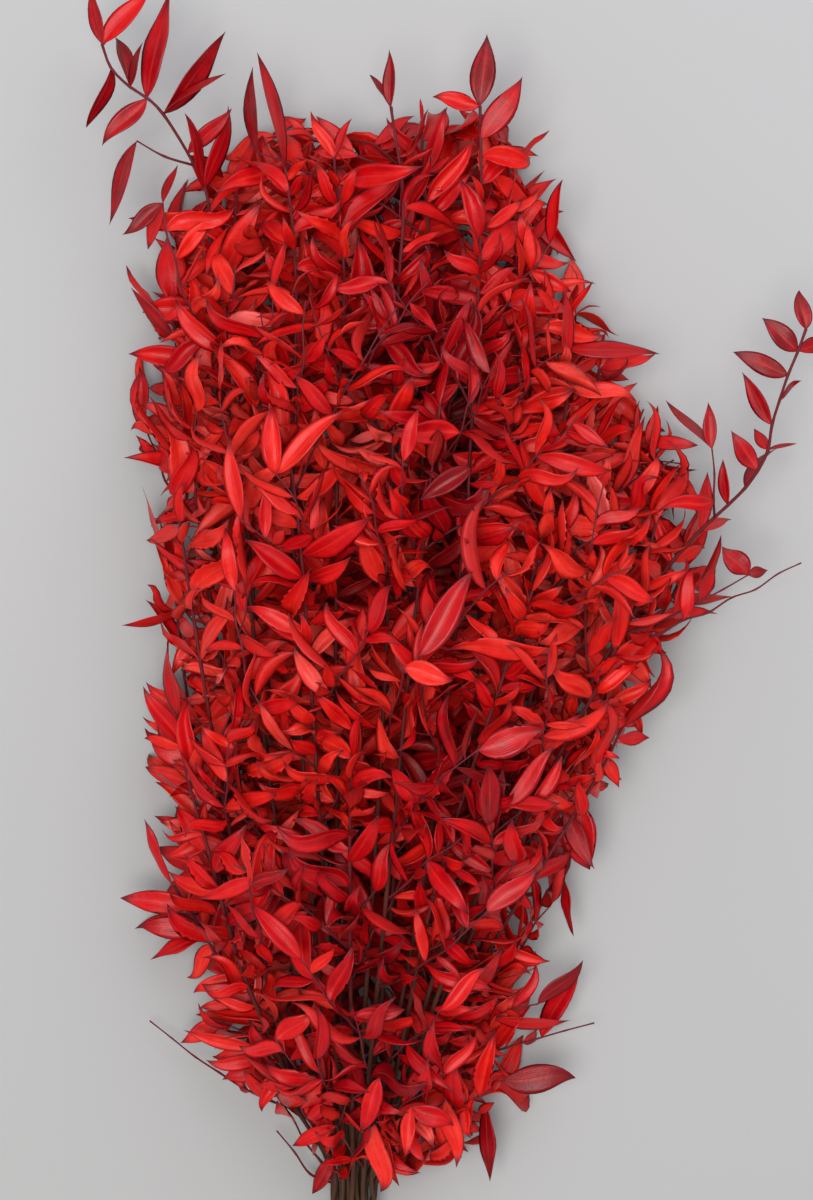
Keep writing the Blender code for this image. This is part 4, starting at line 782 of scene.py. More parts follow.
    # ---- side twigs ------------------------------------------------------
    def twig_path(self, a, away, b, bow):
        """Nodes from a stem point a, leaving along away, to the end b."""
        reach = (b - a).length
        mid = a + away * (reach * 0.42) + bow
        steps = 24
        fine = []
        for i in range(steps + 1):
            t = i / steps
            fine.append(a * (1 - t) ** 2 + mid * (2 * t * (1 - t)) + b * t * t)
        total = sum((q - p).length for p, q in zip(fine, fine[1:]))
        count = max(2, round((total - 0.004) / INTERNODE))
        nodes = [a.copy()]
        want, run, i = total / count, 0.0, 0
        for p, q in zip(fine, fine[1:]):
            part = (q - p).length
            while run + part >= want * len(nodes) - 1e-9 and len(nodes) <= count:
                f = (want * len(nodes) - run) / part
                nodes.append(p.lerp(q, min(1.0, max(0.0, f))))
            run += part
        while len(nodes) <= count:
            nodes.append(b.copy())
        nodes[-1] = b.copy()
        axis = (b - a).normalized()
        side = square_to(Vector([self.rng.uniform(-1, 1) for _ in range(3)]), axis)
        for k in range(1, len(nodes) - 1):
            nodes[k] = nodes[k] + side * (0.0012 * (1 if k % 2 else -1))
            nodes[k].z = max(nodes[k].z, REST + 0.0012)
        return nodes

    def path_free(self, nodes, name, k):
        skip = self.stem_skip(name, k, 2)
        first = nodes[0] + (nodes[1] - nodes[0]).normalized() * 0.004
        points = [first] + nodes[1:]
        for i, (p, q) in enumerate(zip(points, points[1:])):
            if not self.room.free(rod(p, q, TWIG_R * 1.69 + 0.0007, 6), skip if i == 0 else ()):
                return False
        return True

    def commit_twig(self, nodes, name, k):
        stem = self.stems[name]
        stem.slots.add(k)
        tag = (name, "twig", k)
        twig = Twig(tag, nodes, [TWIG_R * 1.25 - 0.0003 * i / len(nodes)
                                 for i in range(len(nodes))], (stem, k))
        stem.twigs.setdefault(k, []).append(twig)
        first = nodes[0] + (nodes[1] - nodes[0]).normalized() * 0.004
        points = [first] + nodes[1:]
        for i, (p, q) in enumerate(zip(points, points[1:])):
            self.room.put((tag, i), rod(p, q, TWIG_R * 1.69 + 0.0005, 6))
        return twig

    def dress(self, twig, name, bare, marked=False):
        """Leaves along a twig, one to a node and on alternate sides."""
        last = len(twig.nodes) - 1
        axis = (twig.nodes[-1] - twig.nodes[0]).normalized()
        out = self.outward(twig.nodes[last // 2])
        plane = square_to(out + Vector([self.rng.uniform(-0.6, 0.6) for _ in range(3)]), axis)
        side = self.rng.choice((-1, 1))
        if not marked and bare <= 0:
            self.end_leaf(twig, plane, name, {(twig.tag, last - 1)})
        free_end = (twig.nodes[-1] - twig.nodes[-2]).length
        for k in range(last - 1, 0, -1):
            free_end += (twig.nodes[k] - twig.nodes[k - 1]).length
            if bare > 0 and (twig.nodes[k] - twig.nodes[-1]).length < bare * UNIT:
                continue
            skip = {(twig.tag, k - 1), (twig.tag, k)}
            side = -side
            if not self.wild_leaf(twig, k, side, plane, name, skip):
                self.wild_leaf(twig, k, -side, plane, name, skip, 8, 0.9)

    def reach_for(self, goal, marks=(), bare=0.0, only="", near=0.036, far=0.15, limit=14,
                  later=None):
        """Grow a side twig from a main stem to a goal."""
        options = []
        for name, stem in self.stems.items():
            if only and name != only:
                continue
            if not only and self.per.get(name, 0) >= LEAVES_PER_SPRIG:
                continue
            top = len(stem.nodes) - 1 - (0 if only else 8)
            low_k = next(i for i, p in enumerate(stem.nodes) if on_sheet(p)[1] < 1186)
            for k in range(low_k, top, 2):
                if any(abs(k - s) < 2 for s in stem.slots):
                    continue
                gap = goal - stem.nodes[k]
                length = gap.length
                if length < near or length > far:
                    continue
                t = stem.aim(k)
                angle = math.degrees(math.acos(max(-1.0, min(1.0, gap.dot(t) / length))))
                if angle < 16 or angle > (100 if marks or bare else 84):
                    continue
                score = abs(angle - 40) / 30 + abs(length - 0.085) / 0.05
                score += self.rng.uniform(0, 0.8) + self.per.get(name, 0) / 36
                options.append((score, name, k))
        options.sort()
        for _, name, k in options[:limit]:
            stem = self.stems[name]
            a, t = stem.nodes[k], stem.aim(k)
            gap = goal - a
            side = square_to(gap, t)
            for turn in range(3):
                lean = math.radians(self.rng.uniform(34, 52))
                away = t * math.cos(lean) + side * math.sin(lean)
                bow = Vector([self.rng.uniform(-1, 1) for _ in range(3)]) * 0.010
                bow.z = abs(bow.z)
                nodes = self.twig_path(a, away, goal, bow)
                if min(p.z for p in nodes) < REST + 0.001:
                    continue
                if (nodes[1] - nodes[0]).normalized().dot(t) > 0.9:
                    continue
                if self.path_free(nodes, name, k):
                    twig = self.commit_twig(nodes, name, k)
                    if later is None:
                        self.dress(twig, name, bare)
                        return True
                    last = len(nodes) - 1
                    twig.marked = 0
                    for mark in marks:
                        if self.try_drawn(twig, last, mark, {(twig.tag, last - 1)}, name):
                            twig.marked += 1
                    later.append((twig, name, bare, bool(marks)))
                    return True
        return False

    # ---- the whole bunch -------------------------------------------------
    def tips(self):
        """The leafy ends of the main stems."""
        for name, u, v, marks in DRAWN_ON_STEM:
            stem = self.stems[name]
            goal = at(u, v, 0)
            k = min(range(len(stem.nodes)), key=lambda i: (
                (on_sheet(stem.nodes[i])[0] - u) ** 2 + (on_sheet(stem.nodes[i])[1] - v) ** 2))
            stem.slots.add(k)
            skip = self.stem_skip(name, k, 1)
            for mark in marks:
                self.try_drawn(stem, k, mark, skip, name)
        for name, stem in self.stems.items():
            last = len(stem.nodes) - 1
            axis = stem.aim(last - 10)
            plane = square_to(self.outward(stem.nodes[last - 8])
                              + Vector([self.rng.uniform(-0.4, 0.4) for _ in range(3)]), axis)
            side = self.rng.choice((-1, 1))
            reach = 42 if name in ("sprig_01", "sprig_10") else 26
            if last not in stem.slots and not stem.leaves.get(last):
                self.end_leaf(stem, plane, name, self.stem_skip(name, last, 1))
                stem.slots.add(last)
            for k in range(last - 3, last - reach, -3):
                if any(abs(k - s) < 2 for s in stem.slots):
                    continue
                side = -side
                skip = self.stem_skip(name, k, 1)
                if self.wild_leaf(stem, k, side, plane, name, skip):
                    stem.slots.add(k)

    def drawn_twigs(self):
        later = []
        for (u, v, mm), marks, bare, only in DRAWN_TWIGS:
            goal = at(u, v, mm)
            done = False
            for turn in range(12):
                loose = 0.0007 * turn
                spot = goal + Vector((self.rng.uniform(-loose, loose),
                                      self.rng.uniform(-loose, loose),
                                      self.rng.uniform(-2, 2) * loose))
                if spot.z < 0.002:
                    continue
                if self.reach_for(spot, marks, bare, only, 0.02, 0.2 if only else 0.17, 24,
                                  later):
                    done = True
                    break
            if not done:
                self.notes.append("drawn twig to %s,%s left out" % (u, v))
        for twig, name, bare, marked in later:
            self.dress(twig, name, bare, marked)

    def fill(self):
        """Side twigs into the emptiest places until the bunch is full."""
        spots = []
        for v in range(130, 1176, 26):
            edges = outline(v)
            u = edges[0] + 10
            while u < edges[1] - 6:
                top = roof(u, v)
                z = 6.0
                while z < top - 4:
                    spots.append((u, v, z))
                    z += 15.0
                u += 26
        tired = {}
        misses = 0
        while self.count < TWIG_LEAVES and misses < 420:
            ranked = []
            for i, (u, v, z) in enumerate(spots):
                if tired.get(i, 0) > 2:
                    continue
                p = at(u, v, z)
                top = roof(u, v)
                skin = 1.0 - 0.42 * min(1.0, (top - z) / 60.0)
                crown = self.crown(v)
                value = self.heat_at(p) * crown / skin + tired.get(i, 0) * 300
                ranked.append((value, i))
            if not ranked:
                break
            ranked.sort()
            done = 0
            for value, i in ranked[:14]:
                u, v, z = spots[i]
                goal = at(u + self.rng.uniform(-12, 12), v + self.rng.uniform(-12, 12),
                          max(2.5, z + self.rng.uniform(-5, 5)))
                tired[i] = tired.get(i, 0) + 1
                if inside(goal, 0, 0) and not hollow(goal) and self.reach_for(goal):
                    done += 1
                else:
                    misses += 1
                if self.count >= TWIG_LEAVES:
                    break

    def thicken(self):
        """A second blade at nodes in the emptiest places, and some on bare stem."""
        places = []
        for name, stem in self.stems.items():
            for twigs in stem.twigs.values():
                for twig in twigs:
                    for k in range(1, len(twig.nodes)):
                        if len(twig.leaves.get(k, ())) == 1 and not twig.leaves[k][0].drawn:
                            places.append((name, twig, k, {(twig.tag, k - 1), (twig.tag, k)}))
            start = next(i for i, p in enumerate(stem.nodes) if on_sheet(p)[1] < 1176)
            for k in range(start, len(stem.nodes) - 2, 3):
                if all(abs(k - s) >= 3 for s in stem.slots):
                    places.append((name, stem, k, self.stem_skip(name, k, 1)))
        tired = set()
        while self.count < LEAF_TOTAL and len(tired) < len(places):
            ranked = sorted(
                (self.heat_at(twig.nodes[k])
                 * self.crown(on_sheet(twig.nodes[k])[1])
                 + (0 if twig.parent else 300), i)
                for i, (name, twig, k, _) in enumerate(places)
                if i not in tired
            )
            for _, i in ranked[:20]:
                name, twig, k, skip = places[i]
                tired.add(i)
                t = twig.aim(k)
                if twig.leaves.get(k):
                    other = twig.leaves[k][0]
                    plane = square_to(other.n + Vector(
                        [self.rng.uniform(-0.7, 0.7) for _ in range(3)]), t)
                    side = -1 if other.d.dot(t.cross(plane)) > 0 else 1
                else:
                    if any(abs(k - s) < 3 for s in twig.slots):
                        continue
                    plane = square_to(Vector([self.rng.uniform(-1, 1) for _ in range(3)])
                                      + self.outward(twig.nodes[k]), t)
                    side = self.rng.choice((-1, 1))
                if self.wild_leaf(twig, k, side, plane, name, skip, 6):
                    if twig.parent is None:
                        twig.slots.add(k)
                if self.count >= LEAF_TOTAL:
                    break

    def grow(self):
        self.lay_stems()
        self.tips()
        self.drawn_twigs()
        self.fill()
        self.thicken()
        return self


def turned(v, axis, angle):
    return v * math.cos(angle) + axis.cross(v) * math.sin(angle)


def lateral_of(item):
    """The direction in which a leaf or a side twig leaves its node."""
    if isinstance(item, Leaf):
        return item.d
    return (item.nodes[1] - item.nodes[0]).normalized()


def share_sides(twig, sides, notes):
    """Turn each node's section so that every leaf or side twig has a flank of its own."""
    twig.face = {}
    twig.flank = {}
    last = len(twig.nodes) - 1
    previous = None
    for k in range(1, last + 1):
        t = twig.aim(k)
        items = list(twig.twigs.get(k, ())) + list(twig.leaves.get(k, ()))
        if k == last and twig.leaves.get(k):
            crown = max(twig.leaves[k], key=lambda leaf: leaf.d.dot(t))
            twig.crown = crown if crown.d.dot(t) > 0.3 else None
            items = [item for item in items if item is not twig.crown]
        base = square_to(previous if previous is not None else Vector((0.1, 0.2, 1)), t)
        if not items:
            twig.face[k] = base
            previous = base
            continue
        while True:
            laterals = [square_to(lateral_of(item), t) for item in items]
            best = None
            for step in range(24):
                front = turned(base, t, step * math.tau / sides / 24)
                flanks = [turned(front, t, j * math.tau / sides) for j in range(sides)]
                for order in itertools.permutations(range(sides), len(items)):
                    worth = min(flanks[j].dot(w) for j, w in zip(order, laterals))
                    if best is None or worth > best[0] + 1e-6:
                        best = (worth, front, order, flanks)
                if len(items) > sides:
                    break
            if best is not None and best[0] > 0.25:
                break
            drop = items.pop()
            twig.leaves[k].remove(drop)
            notes.append("a leaf had no flank at %s %s" % (twig.tag, k))
            if not items:
                break
        if not items:
            twig.face[k] = base
            previous = base
            continue
        _, front, order, flanks = best
        twig.face[k] = front
        previous = front
        for item, j in zip(items, order):
            twig.flank[id(item)] = flanks[j]


def settle(bunch):
    for stem in bunch.stems.values():
        stem.crown = None
        share_sides(stem, 4, bunch.notes)
        for twigs in stem.twigs.values():
            for twig in twigs:
                twig.crown = None
                share_sides(twig, 3, bunch.notes)


def stem_rings(stem):
    """Node numbers at which a main stem needs a section."""
    last = len(stem.nodes) - 1
    keep = {0, last} | {k for k, v in stem.leaves.items() if v} | set(stem.twigs)
    tie = [k for k, p in enumerate(stem.nodes) if abs(p.y - stem.nodes[0].y) < 1e-9]
    keep |= set(tie)

    def split(a, b):
        if b - a < 2:
            return
        p, q = stem.nodes[a], stem.nodes[b]
        t = (q - p).normalized()
        worst, where = 0.0, None
        for k in range(a + 1, b):
            w = stem.nodes[k] - p
            off = (w - t * w.dot(t)).length
            if off > worst:
                worst, where = off, k
        if worst > 0.00035:
            keep.add(where)
            split(a, where)
            split(where, b)

    marks = sorted(keep)
    for a, b in zip(marks, marks[1:]):
        split(a, b)
    return sorted(keep)


# ---------------------------------------------------------------------------
# Blades that only show: smaller ones between those of the solids


EXTRA_LEAVES = 2150
PIT_LEAVES = 22        # in each deep place, low down
FLOOR_LEAVES = 520     # low down, where nothing else would hide the surface

# Zones of painted shade on the blades, in the layout sheet: u, v, half widths, and how much. A minus sign
# marks zones of painted light: brighter, more orange blades.
PAINTED_SHADE_AND_LIGHT = (
    (392, 305, 30, 62, 0.33), (466, 370, 36, 86, 0.36), (444, 490, 28, 70, 0.32),
    (446, 622, 24, 44, 0.24), (468, 776, 50, 62, 0.38), (350, 882, 58, 46, 0.34),
    (366, 985, 44, 56, 0.30), (372, 1070, 40, 38, 0.36), (250, 920, 28, 34, 0.22),
    (296, 1050, 26, 32, 0.16), (440, 985, 24, 32, 0.22), (228, 800, 18, 52, 0.22),
    (402, 150, 42, 60, 0.18), (560, 850, 24, 50, 0.18), (345, 585, 24, 34, 0.18),
    (494, 900, 30, 30, 0.20), (300, 855, 24, 24, 0.16), (160, 905, 30, 30, 0.16),
    (290, 445, 60, 54, -0.14), (368, 435, 26, 34, -0.16), (200, 600, 36, 120, -0.15),
    (285, 750, 50, 76, -0.12), (538, 932, 34, 44, -0.12), (264, 975, 30, 40, -0.10),
    (400, 660, 60, 30, -0.06), (600, 700, 50, 130, -0.15), (575, 330, 34, 60, -0.10),
    (234, 400, 34, 44, -0.12), (248, 250, 60, 70, -0.05), (560, 500, 60, 60, -0.06),
)


# Single blades along the bunch's edge: foot (u, v and height in mm), tip, width and rise.
SHOWN = (
    (232, 975, 40, 204, 966, 20, -4), (246, 998, 44, 194, 994, 18, -6),
    (240, 1034, 34, 184, 1028, 18, -6), (250, 1024, 40, 196, 1008, 16, -4),
    (264, 1048, 40, 212, 1056, 16, -8), (292, 1098, 44, 262, 1112, 14, -8),
    (338, 1136, 46, 298, 1142, 18, -8), (345, 1160, 34, 312, 1194, 14, -8),
    (500, 960, 50, 550, 956, 20, -4), (530, 1008, 40, 580, 966, 18, -2),
    (496, 1040, 44, 534, 1006, 18, -2), (370, 1150, 56, 398, 1190, 16, -20),
    (392, 1130, 60, 424, 1160, 18, -12), (560, 846, 40, 592, 868, 20, -4),
    (586, 752, 46, 622, 780, 15, -4), (610, 714, 44, 642, 736, 16, -4),
    (632, 634, 50, 652, 690, 16, -6), (668, 600, 46, 712, 612, 12, -4),
    (600, 366, 60, 660, 354, 16, 0), (598, 380, 56, 638, 402, 18, -4),
    (522, 258, 60, 570, 262, 16, -2), (530, 280, 56, 572, 292, 16, -4),
    (556, 306, 58, 596, 284, 14, 0), (172, 330, 40, 134, 288, 16, -2),
    (176, 600, 36, 154, 534, 14, 0), (182, 738, 44, 146, 684, 22, 0),
    (186, 792, 44, 152, 744, 18, 0), (198, 850, 40, 160, 822, 18, -2),
    (196, 928, 34, 138, 926, 20, -6), (332, 152, 66, 316, 116, 16, 2),
    (456, 204, 60, 472, 136, 20, 6), (440, 176, 60, 448, 108, 18, 4),
    (228, 168, 62, 232, 108, 14, 4), (178, 440, 40, 140, 404, 16, 0),
    (200, 700, 46, 152, 706, 16, -4), (176, 232, 56, 128, 218, 16, -4),
    (560, 520, 60, 588, 566, 14, -4), (648, 452, 60, 700, 446, 14, 0),
    (186, 980, 30, 150, 960, 12, -6), (432, 1120, 56, 462, 1158, 18, -10),
    (250, 1076, 30, 206, 1062, 18, -4), (262, 1092, 30, 222, 1080, 16, -6),
    (232, 1068, 26, 196, 1050, 16, -2), (540, 1030, 36, 572, 1020, 14, -4),
    (700, 604, 50, 734, 594, 12, -2), (620, 560, 60, 664, 588, 16, -4),
)


class Sprout:
    """A place between two nodes of a twig or stem, for one more small blade."""

    def __init__(self, twig, k, share):
        self.tag = twig.tag
        self.nodes = [twig.nodes[k].lerp(twig.nodes[k + 1], share)]
        self.way = (twig.nodes[k + 1] - twig.nodes[k]).normalized()
        self.leaves = {}

    def aim(self, k):
        return self.way


def small_leaf(bunch, spot, name, skip, rng, aim=None):
    """A blade that leans close along its twig and may show its edge."""
    foot, t = spot.nodes[0], spot.way
    for turn in range(6 if aim is None else 9):
        spread = math.radians(rng.triangular(14, 88, 34))
        out = square_to(Vector([rng.uniform(-1, 1) for _ in range(3)])
                        + bunch.outward(foot) * 0.5, t)
        d = t * math.cos(spread) + out * math.sin(spread)
        if aim is not None:
            there = Vector((aim.x - foot.x, aim.y - foot.y, rng.uniform(-0.012, 0.004)))
            d = (there.normalized() + Vector([rng.uniform(-0.6, 0.6) for _ in range(3)])).normalized()
        length = rng.triangular(0.016, 0.044, 0.028) * (1 - 0.04 * turn)
        face = square_to(bunch.outward(foot), d)
        roll = math.radians(rng.gauss(0, 62))
        n = face * math.cos(roll) + d.cross(face) * math.sin(roll)
        tip = foot + d * length
        tip.z = max(tip.z, REST)
        leaf = Leaf(foot, tip, n, length * rng.uniform(0.24, 0.36), rng.uniform(-0.08, 0.14),
                    rng.random())
        if any(((u - 366) / 38) ** 2 + ((v - 126) / 42) ** 2 < 1
               for u, v in (on_sheet(leaf.spine(0.5)), on_sheet(leaf.tip))):
            continue
        if bunch.add_leaf(spot, 0, leaf, skip, name):
            return True
    return False


def buried(p):
    """0 at the top of the leafy mass, 1 from 60 mm under it."""
    u, v = on_sheet(p)
    return min(1.0, max(0.0, ((roof(u, v) or 26.0) - p.z * 1000 - 15) / 45.0))


def add_extras(bunch):
    """More blades on stretches with room left, thinner spread and smaller."""
    rng = random.Random(SEED + 1000)
    bunch.rng = rng
    places = []
    for name, stem in bunch.stems.items():
        for twigs in stem.twigs.values():
            for twig in twigs:
                for k in range(len(twig.nodes) - 1):
                    places.append((name, twig, k, {(twig.tag, k - 1), (twig.tag, k),
                                                   (twig.tag, k + 1)}))
        start = next(i for i, p in enumerate(stem.nodes) if on_sheet(p)[1] < 1180)
        for k in range(start, len(stem.nodes) - 2, 2):
            places.append((name, stem, k, bunch.stem_skip(name, k, 1)))
    made = {name: [] for name in bunch.stems}
    total = 0
    used = {}
    tree = KDTree(len(places))
    for i, (name, twig, k, _) in enumerate(places):
        tree.insert(twig.nodes[k], i)
    tree.balance()
    for mark in SHOWN:
        add_shown(bunch, places, tree, made, mark, rng)
    for cu, cv, wu, wv, floor in HOLLOWS:
        middle = at(cu, cv, floor * 0.5)
        near = []
        for i, (name, twig, k, _) in enumerate(places):
            u, v = on_sheet(twig.nodes[k])
            far = math.hypot((u - cu) / (wu + 14), (v - cv) / (wv + 14))
            if far < 1 and twig.nodes[k].z * 1000 < floor + 6:
                near.append((far + rng.uniform(0, 0.5), i))
        count = 0
        for _, i in sorted(near) * 3:
            if count >= PIT_LEAVES:
                break
            name, twig, k, skip = places[i]
            spot = Sprout(twig, k, rng.uniform(0.2, 0.8))
            if small_leaf(bunch, spot, name, skip, rng, middle):
                made[name].append(spot.leaves[0][0])
                count += 1
        total += count
    for turn in range(3):
        ranked = sorted(
            (bunch.heat_at(twig.nodes[k]) * rng.uniform(0.7, 1.3) * (1 + 0.9 * buried(twig.nodes[k])), i)
            for i, (name, twig, k, _) in enumerate(places)
        )
        for _, i in ranked:
            if total >= EXTRA_LEAVES * (turn + 1) / 3:
                break
            if used.get(i, 0) > 1:
                continue
            name, twig, k, skip = places[i]
            spot = Sprout(twig, k, rng.uniform(0.25, 0.75))
            if small_leaf(bunch, spot, name, skip, rng):
                made[name].append(spot.leaves[0][0])
                used[i] = used.get(i, 0) + 1
                total += 1
    hide_floor(bunch, places, tree, made, rng)
    return made


def quad_of(leaf):
    """The blade's outline in the layout sheet, as four corners."""
    c = leaf.spine(LEAF_WIDE_AT)
    side = leaf.s * (leaf.width * 0.5)
    return [on_sheet(p) for p in (leaf.foot, c + side, leaf.tip, c - side)]


def shade_in(cover, quad, cell):
    """Mark the cells of the sheet whose middles are inside a quad."""
    us, vs = [q[0] for q in quad], [q[1] for q in quad]
    i0, i1 = max(0, int(min(us) / cell)), min(cover.shape[1] - 1, int(max(us) / cell))
    j0, j1 = max(0, int(min(vs) / cell)), min(cover.shape[0] - 1, int(max(vs) / cell))
    if i1 < i0 or j1 < j0:
        return
    uu, vv = np.meshgrid((np.arange(i0, i1 + 1) + 0.5) * cell, (np.arange(j0, j1 + 1) + 0.5) * cell)
    plus, minus = np.ones(uu.shape, bool), np.ones(uu.shape, bool)
    for a, b in zip(quad, quad[1:] + quad[:1]):
        turn = (b[0] - a[0]) * (vv - a[1]) - (b[1] - a[1]) * (uu - a[0])
        plus &= turn >= 0
        minus &= turn <= 0
    cover[j0:j1 + 1, i0:i1 + 1] |= plus | minus


def add_shown(bunch, places, tree, made, mark, rng):
    """One blade of the edge, from the twig that is nearest to its foot."""
    foot = at(*mark[:3])
    for turn in range(60):
        w = turn / 59
        near = tree.find_n(foot, 4 + turn // 4)
        _, index, _ = near[rng.randrange(len(near))]
        name, twig, k, skip = places[index]
        spot = Sprout(twig, k, rng.uniform(0.2, 0.8))
        jog = (mark[3] + rng.uniform(-7, 7) * w, mark[4] + rng.uniform(-7, 7) * w,
               mark[5] * (1 - 0.3 * w), mark[6] + rng.uniform(-24, 24) * w)
        leaf = bunch.drawn_leaf(spot.nodes[0], jog, spot.nodes[0].z)
        if leaf.length > 0.062 or leaf.length < 0.016:
            continue
        if bunch.add_leaf(spot, 0, leaf, skip, name, True):
            made[name].append(leaf)
            return True
    return False


def hide_floor(bunch, places, tree, made, rng):
    """Blades low in the bunch, aimed where nothing else hides the surface."""
    cell = 2.0
    cover = np.zeros((600, 406), bool)
    for name, stem in bunch.stems.items():
        leaves = list(made[name])
        for twig in [stem] + [t for twigs in stem.twigs.values() for t in twigs]:
            leaves += [leaf for row in twig.leaves.values() for leaf in row]
        for leaf in leaves:
            shade_in(cover, quad_of(leaf), cell)
    count = 0
    for turn in range(5):
        bare = ~cover
        for _ in range(max(0, 2 - turn)):
            inner = bare.copy()
            inner[1:] &= bare[:-1]
            inner[:-1] &= bare[1:]
            inner[:, 1:] &= bare[:, :-1]
            inner[:, :-1] &= bare[:, 1:]
            bare = inner
        spots = [(int(j), int(i)) for j, i in np.argwhere(bare)]
        rng.shuffle(spots)
        for j, i in spots:
            u, v = (i + 0.5) * cell, (j + 0.5) * cell
            edges = outline(v)
            if cover[j, i] or edges is None or v < 130:
                continue
            if abs(u - (edges[0] + edges[1]) / 2) > (edges[1] - edges[0]) / 2 * 0.84:
                continue
            if ((u - 362) / 40) ** 2 + ((v - 126) / 40) ** 2 < 1:
                continue
            if count >= FLOOR_LEAVES:
                return count
            goal = at(u, v, rng.uniform(5, 45))
            near = tree.find_n(goal, 14)
            rng.shuffle(near)
            for _, index, far in near[:7]:
                if far > 0.05:
                    continue
                name, twig, k, skip = places[index]
                spot = Sprout(twig, k, rng.uniform(0.2, 0.8))
                foot = spot.nodes[0]
                way = goal - foot
                length = min(0.052, max(0.022, way.length * rng.uniform(1.5, 2.2)))
                tip = foot + way.normalized() * length
                tip.z = max(tip.z, REST)
                up = Vector((rng.gauss(0, 0.35), rng.gauss(0, 0.35), 1))
                leaf = Leaf(foot, tip, up, length * rng.uniform(0.28, 0.38),
                            rng.uniform(-0.02, 0.08), rng.random())
                if bunch.add_leaf(spot, 0, leaf, skip, name):
                    made[name].append(leaf)
                    shade_in(cover, quad_of(leaf), cell)
                    count += 1
                    break
    return count


# ---------------------------------------------------------------------------
# Meshes


def smooth_line(points, radii, step):
    """The points and radii resampled along a smooth curve."""
    pts = np.array([tuple(p) for p in points], float)
    rad = np.array(radii, float)
    ext = np.vstack([2 * pts[0] - pts[1], pts, 2 * pts[-1] - pts[-2]])
    out, thick, at_node = [pts[0]], [rad[0]], [0]
    for i in range(len(pts) - 1):
        a, b, c, d = ext[i], ext[i + 1], ext[i + 2], ext[i + 3]
        n = max(1, int(round(np.linalg.norm(c - b) / step)))
        for j in range(1, n + 1):
            t = j / n
            out.append(0.5 * (2 * b + (c - a) * t + (2 * a - 5 * b + 4 * c - d) * t * t
                              + (3 * b - a - 3 * c + d) * t**3))
            thick.append(rad[i] + (rad[i + 1] - rad[i]) * t)
        at_node.append(len(out) - 1)
    return np.array(out), np.array(thick), at_node


def frames_along(line):
    """Unit tangents and two sideways directions carried along a line."""
    t = np.gradient(line, axis=0)
    t /= np.linalg.norm(t, axis=1)[:, None]
    x = np.zeros_like(line)
    start = np.array([0.13, 0.21, 0.97])
    v = start - t[0] * start.dot(t[0])
    x[0] = v / np.linalg.norm(v)
    for i in range(1, len(line)):
        v = x[i - 1] - t[i] * x[i - 1].dot(t[i])
        x[i] = v / np.linalg.norm(v)
    return t, x, np.cross(t, x)


class Heap:
    """Vertices, faces and per-vertex numbers gathered for one mesh."""

    def __init__(self, names):
        self.points, self.faces, self.count = [], [], 0
        self.values = {name: [] for name in names}

    def add(self, points, faces, **values):
        self.points.append(points)
        self.faces.extend(tuple(self.count + i for i in face) for face in faces)
        for name in self.values:
            value = values.get(name, 0.0)
            self.values[name].append(np.broadcast_to(np.asarray(value, float), (len(points),)))
        self.count += len(points)

    def build(self, name, material):
        mesh = bpy.data.meshes.new(name)
        points = np.concatenate(self.points)
        mesh.from_pydata(points.tolist(), [], self.faces)
        for key, parts in self.values.items():
            layer = mesh.attributes.new(key, "FLOAT", "POINT")
            layer.data.foreach_set("value", np.concatenate(parts).astype(np.float32))
        mesh.shade_smooth()
        mesh.materials.append(material)
        mesh.validate()
        mesh.update()
        obj = bpy.data.objects.new(name, mesh)
        bpy.context.scene.collection.objects.link(obj)
        return obj


def tube_faces(rings, sides):
    faces = []
    for i in range(rings - 1):
        for j in range(sides):
            k = (j + 1) % sides
            faces.append((i * sides + j, i * sides + k, (i + 1) * sides + k, (i + 1) * sides + j))
    return faces


def add_tube(heap, line, radii, sides, rng, **values):
    """A closed round tube with domed ends along a line."""
    t, x, y = frames_along(line)
    n = len(line)
    ang = np.arange(sides) * (math.tau / sides)
    wob = 1 + 0.05 * np.sin(ang[None, :] * 2 + rng.uniform(0, 6) + np.arange(n)[:, None] * 0.35)
    ring = (line[:, None, :]
            + (x[:, None, :] * np.cos(ang)[None, :, None]
               + y[:, None, :] * np.sin(ang)[None, :, None]) * (radii[:, None] * wob)[:, :, None])
    points = ring.reshape(-1, 3)
    faces = tube_faces(n, sides)
    first = line[0] - t[0] * radii[0] * 0.15
    last = line[-1] + t[-1] * radii[-1] * 0.8
    points = np.vstack([points, first, last])
    a, b = n * sides, n * sides + 1
    for j in range(sides):
        k = (j + 1) % sides
        faces.append((a, k, j))
        faces.append((b, (n - 1) * sides + j, (n - 1) * sides + k))
    full = {}
    for key, value in values.items():
        value = np.asarray(value, float)
        if value.ndim == 0:
            full[key] = value
        else:
            full[key] = np.concatenate([np.repeat(value, sides), [value[0], value[-1]]])
    heap.add(points, faces, **full)


BLADE_FACES = {}


def blade_faces(rows, cols):
    """Faces of a closed blade: rings of 2 * cols points, then the foot and the tip."""
    if (rows, cols) in BLADE_FACES:
        return BLADE_FACES[(rows, cols)]
    ring = 2 * cols
    faces = []
    for i in range(rows - 1):
        for j in range(ring):
            k = (j + 1) % ring
            faces.append((i * ring + j, (i + 1) * ring + j, (i + 1) * ring + k, i * ring + k))
    foot, tip = rows * ring, rows * ring + 1
    for j in range(ring):
        k = (j + 1) % ring
        faces.append((foot, j, k))
        faces.append((tip, (rows - 1) * ring + k, (rows - 1) * ring + j))
    BLADE_FACES[(rows, cols)] = faces
    return faces


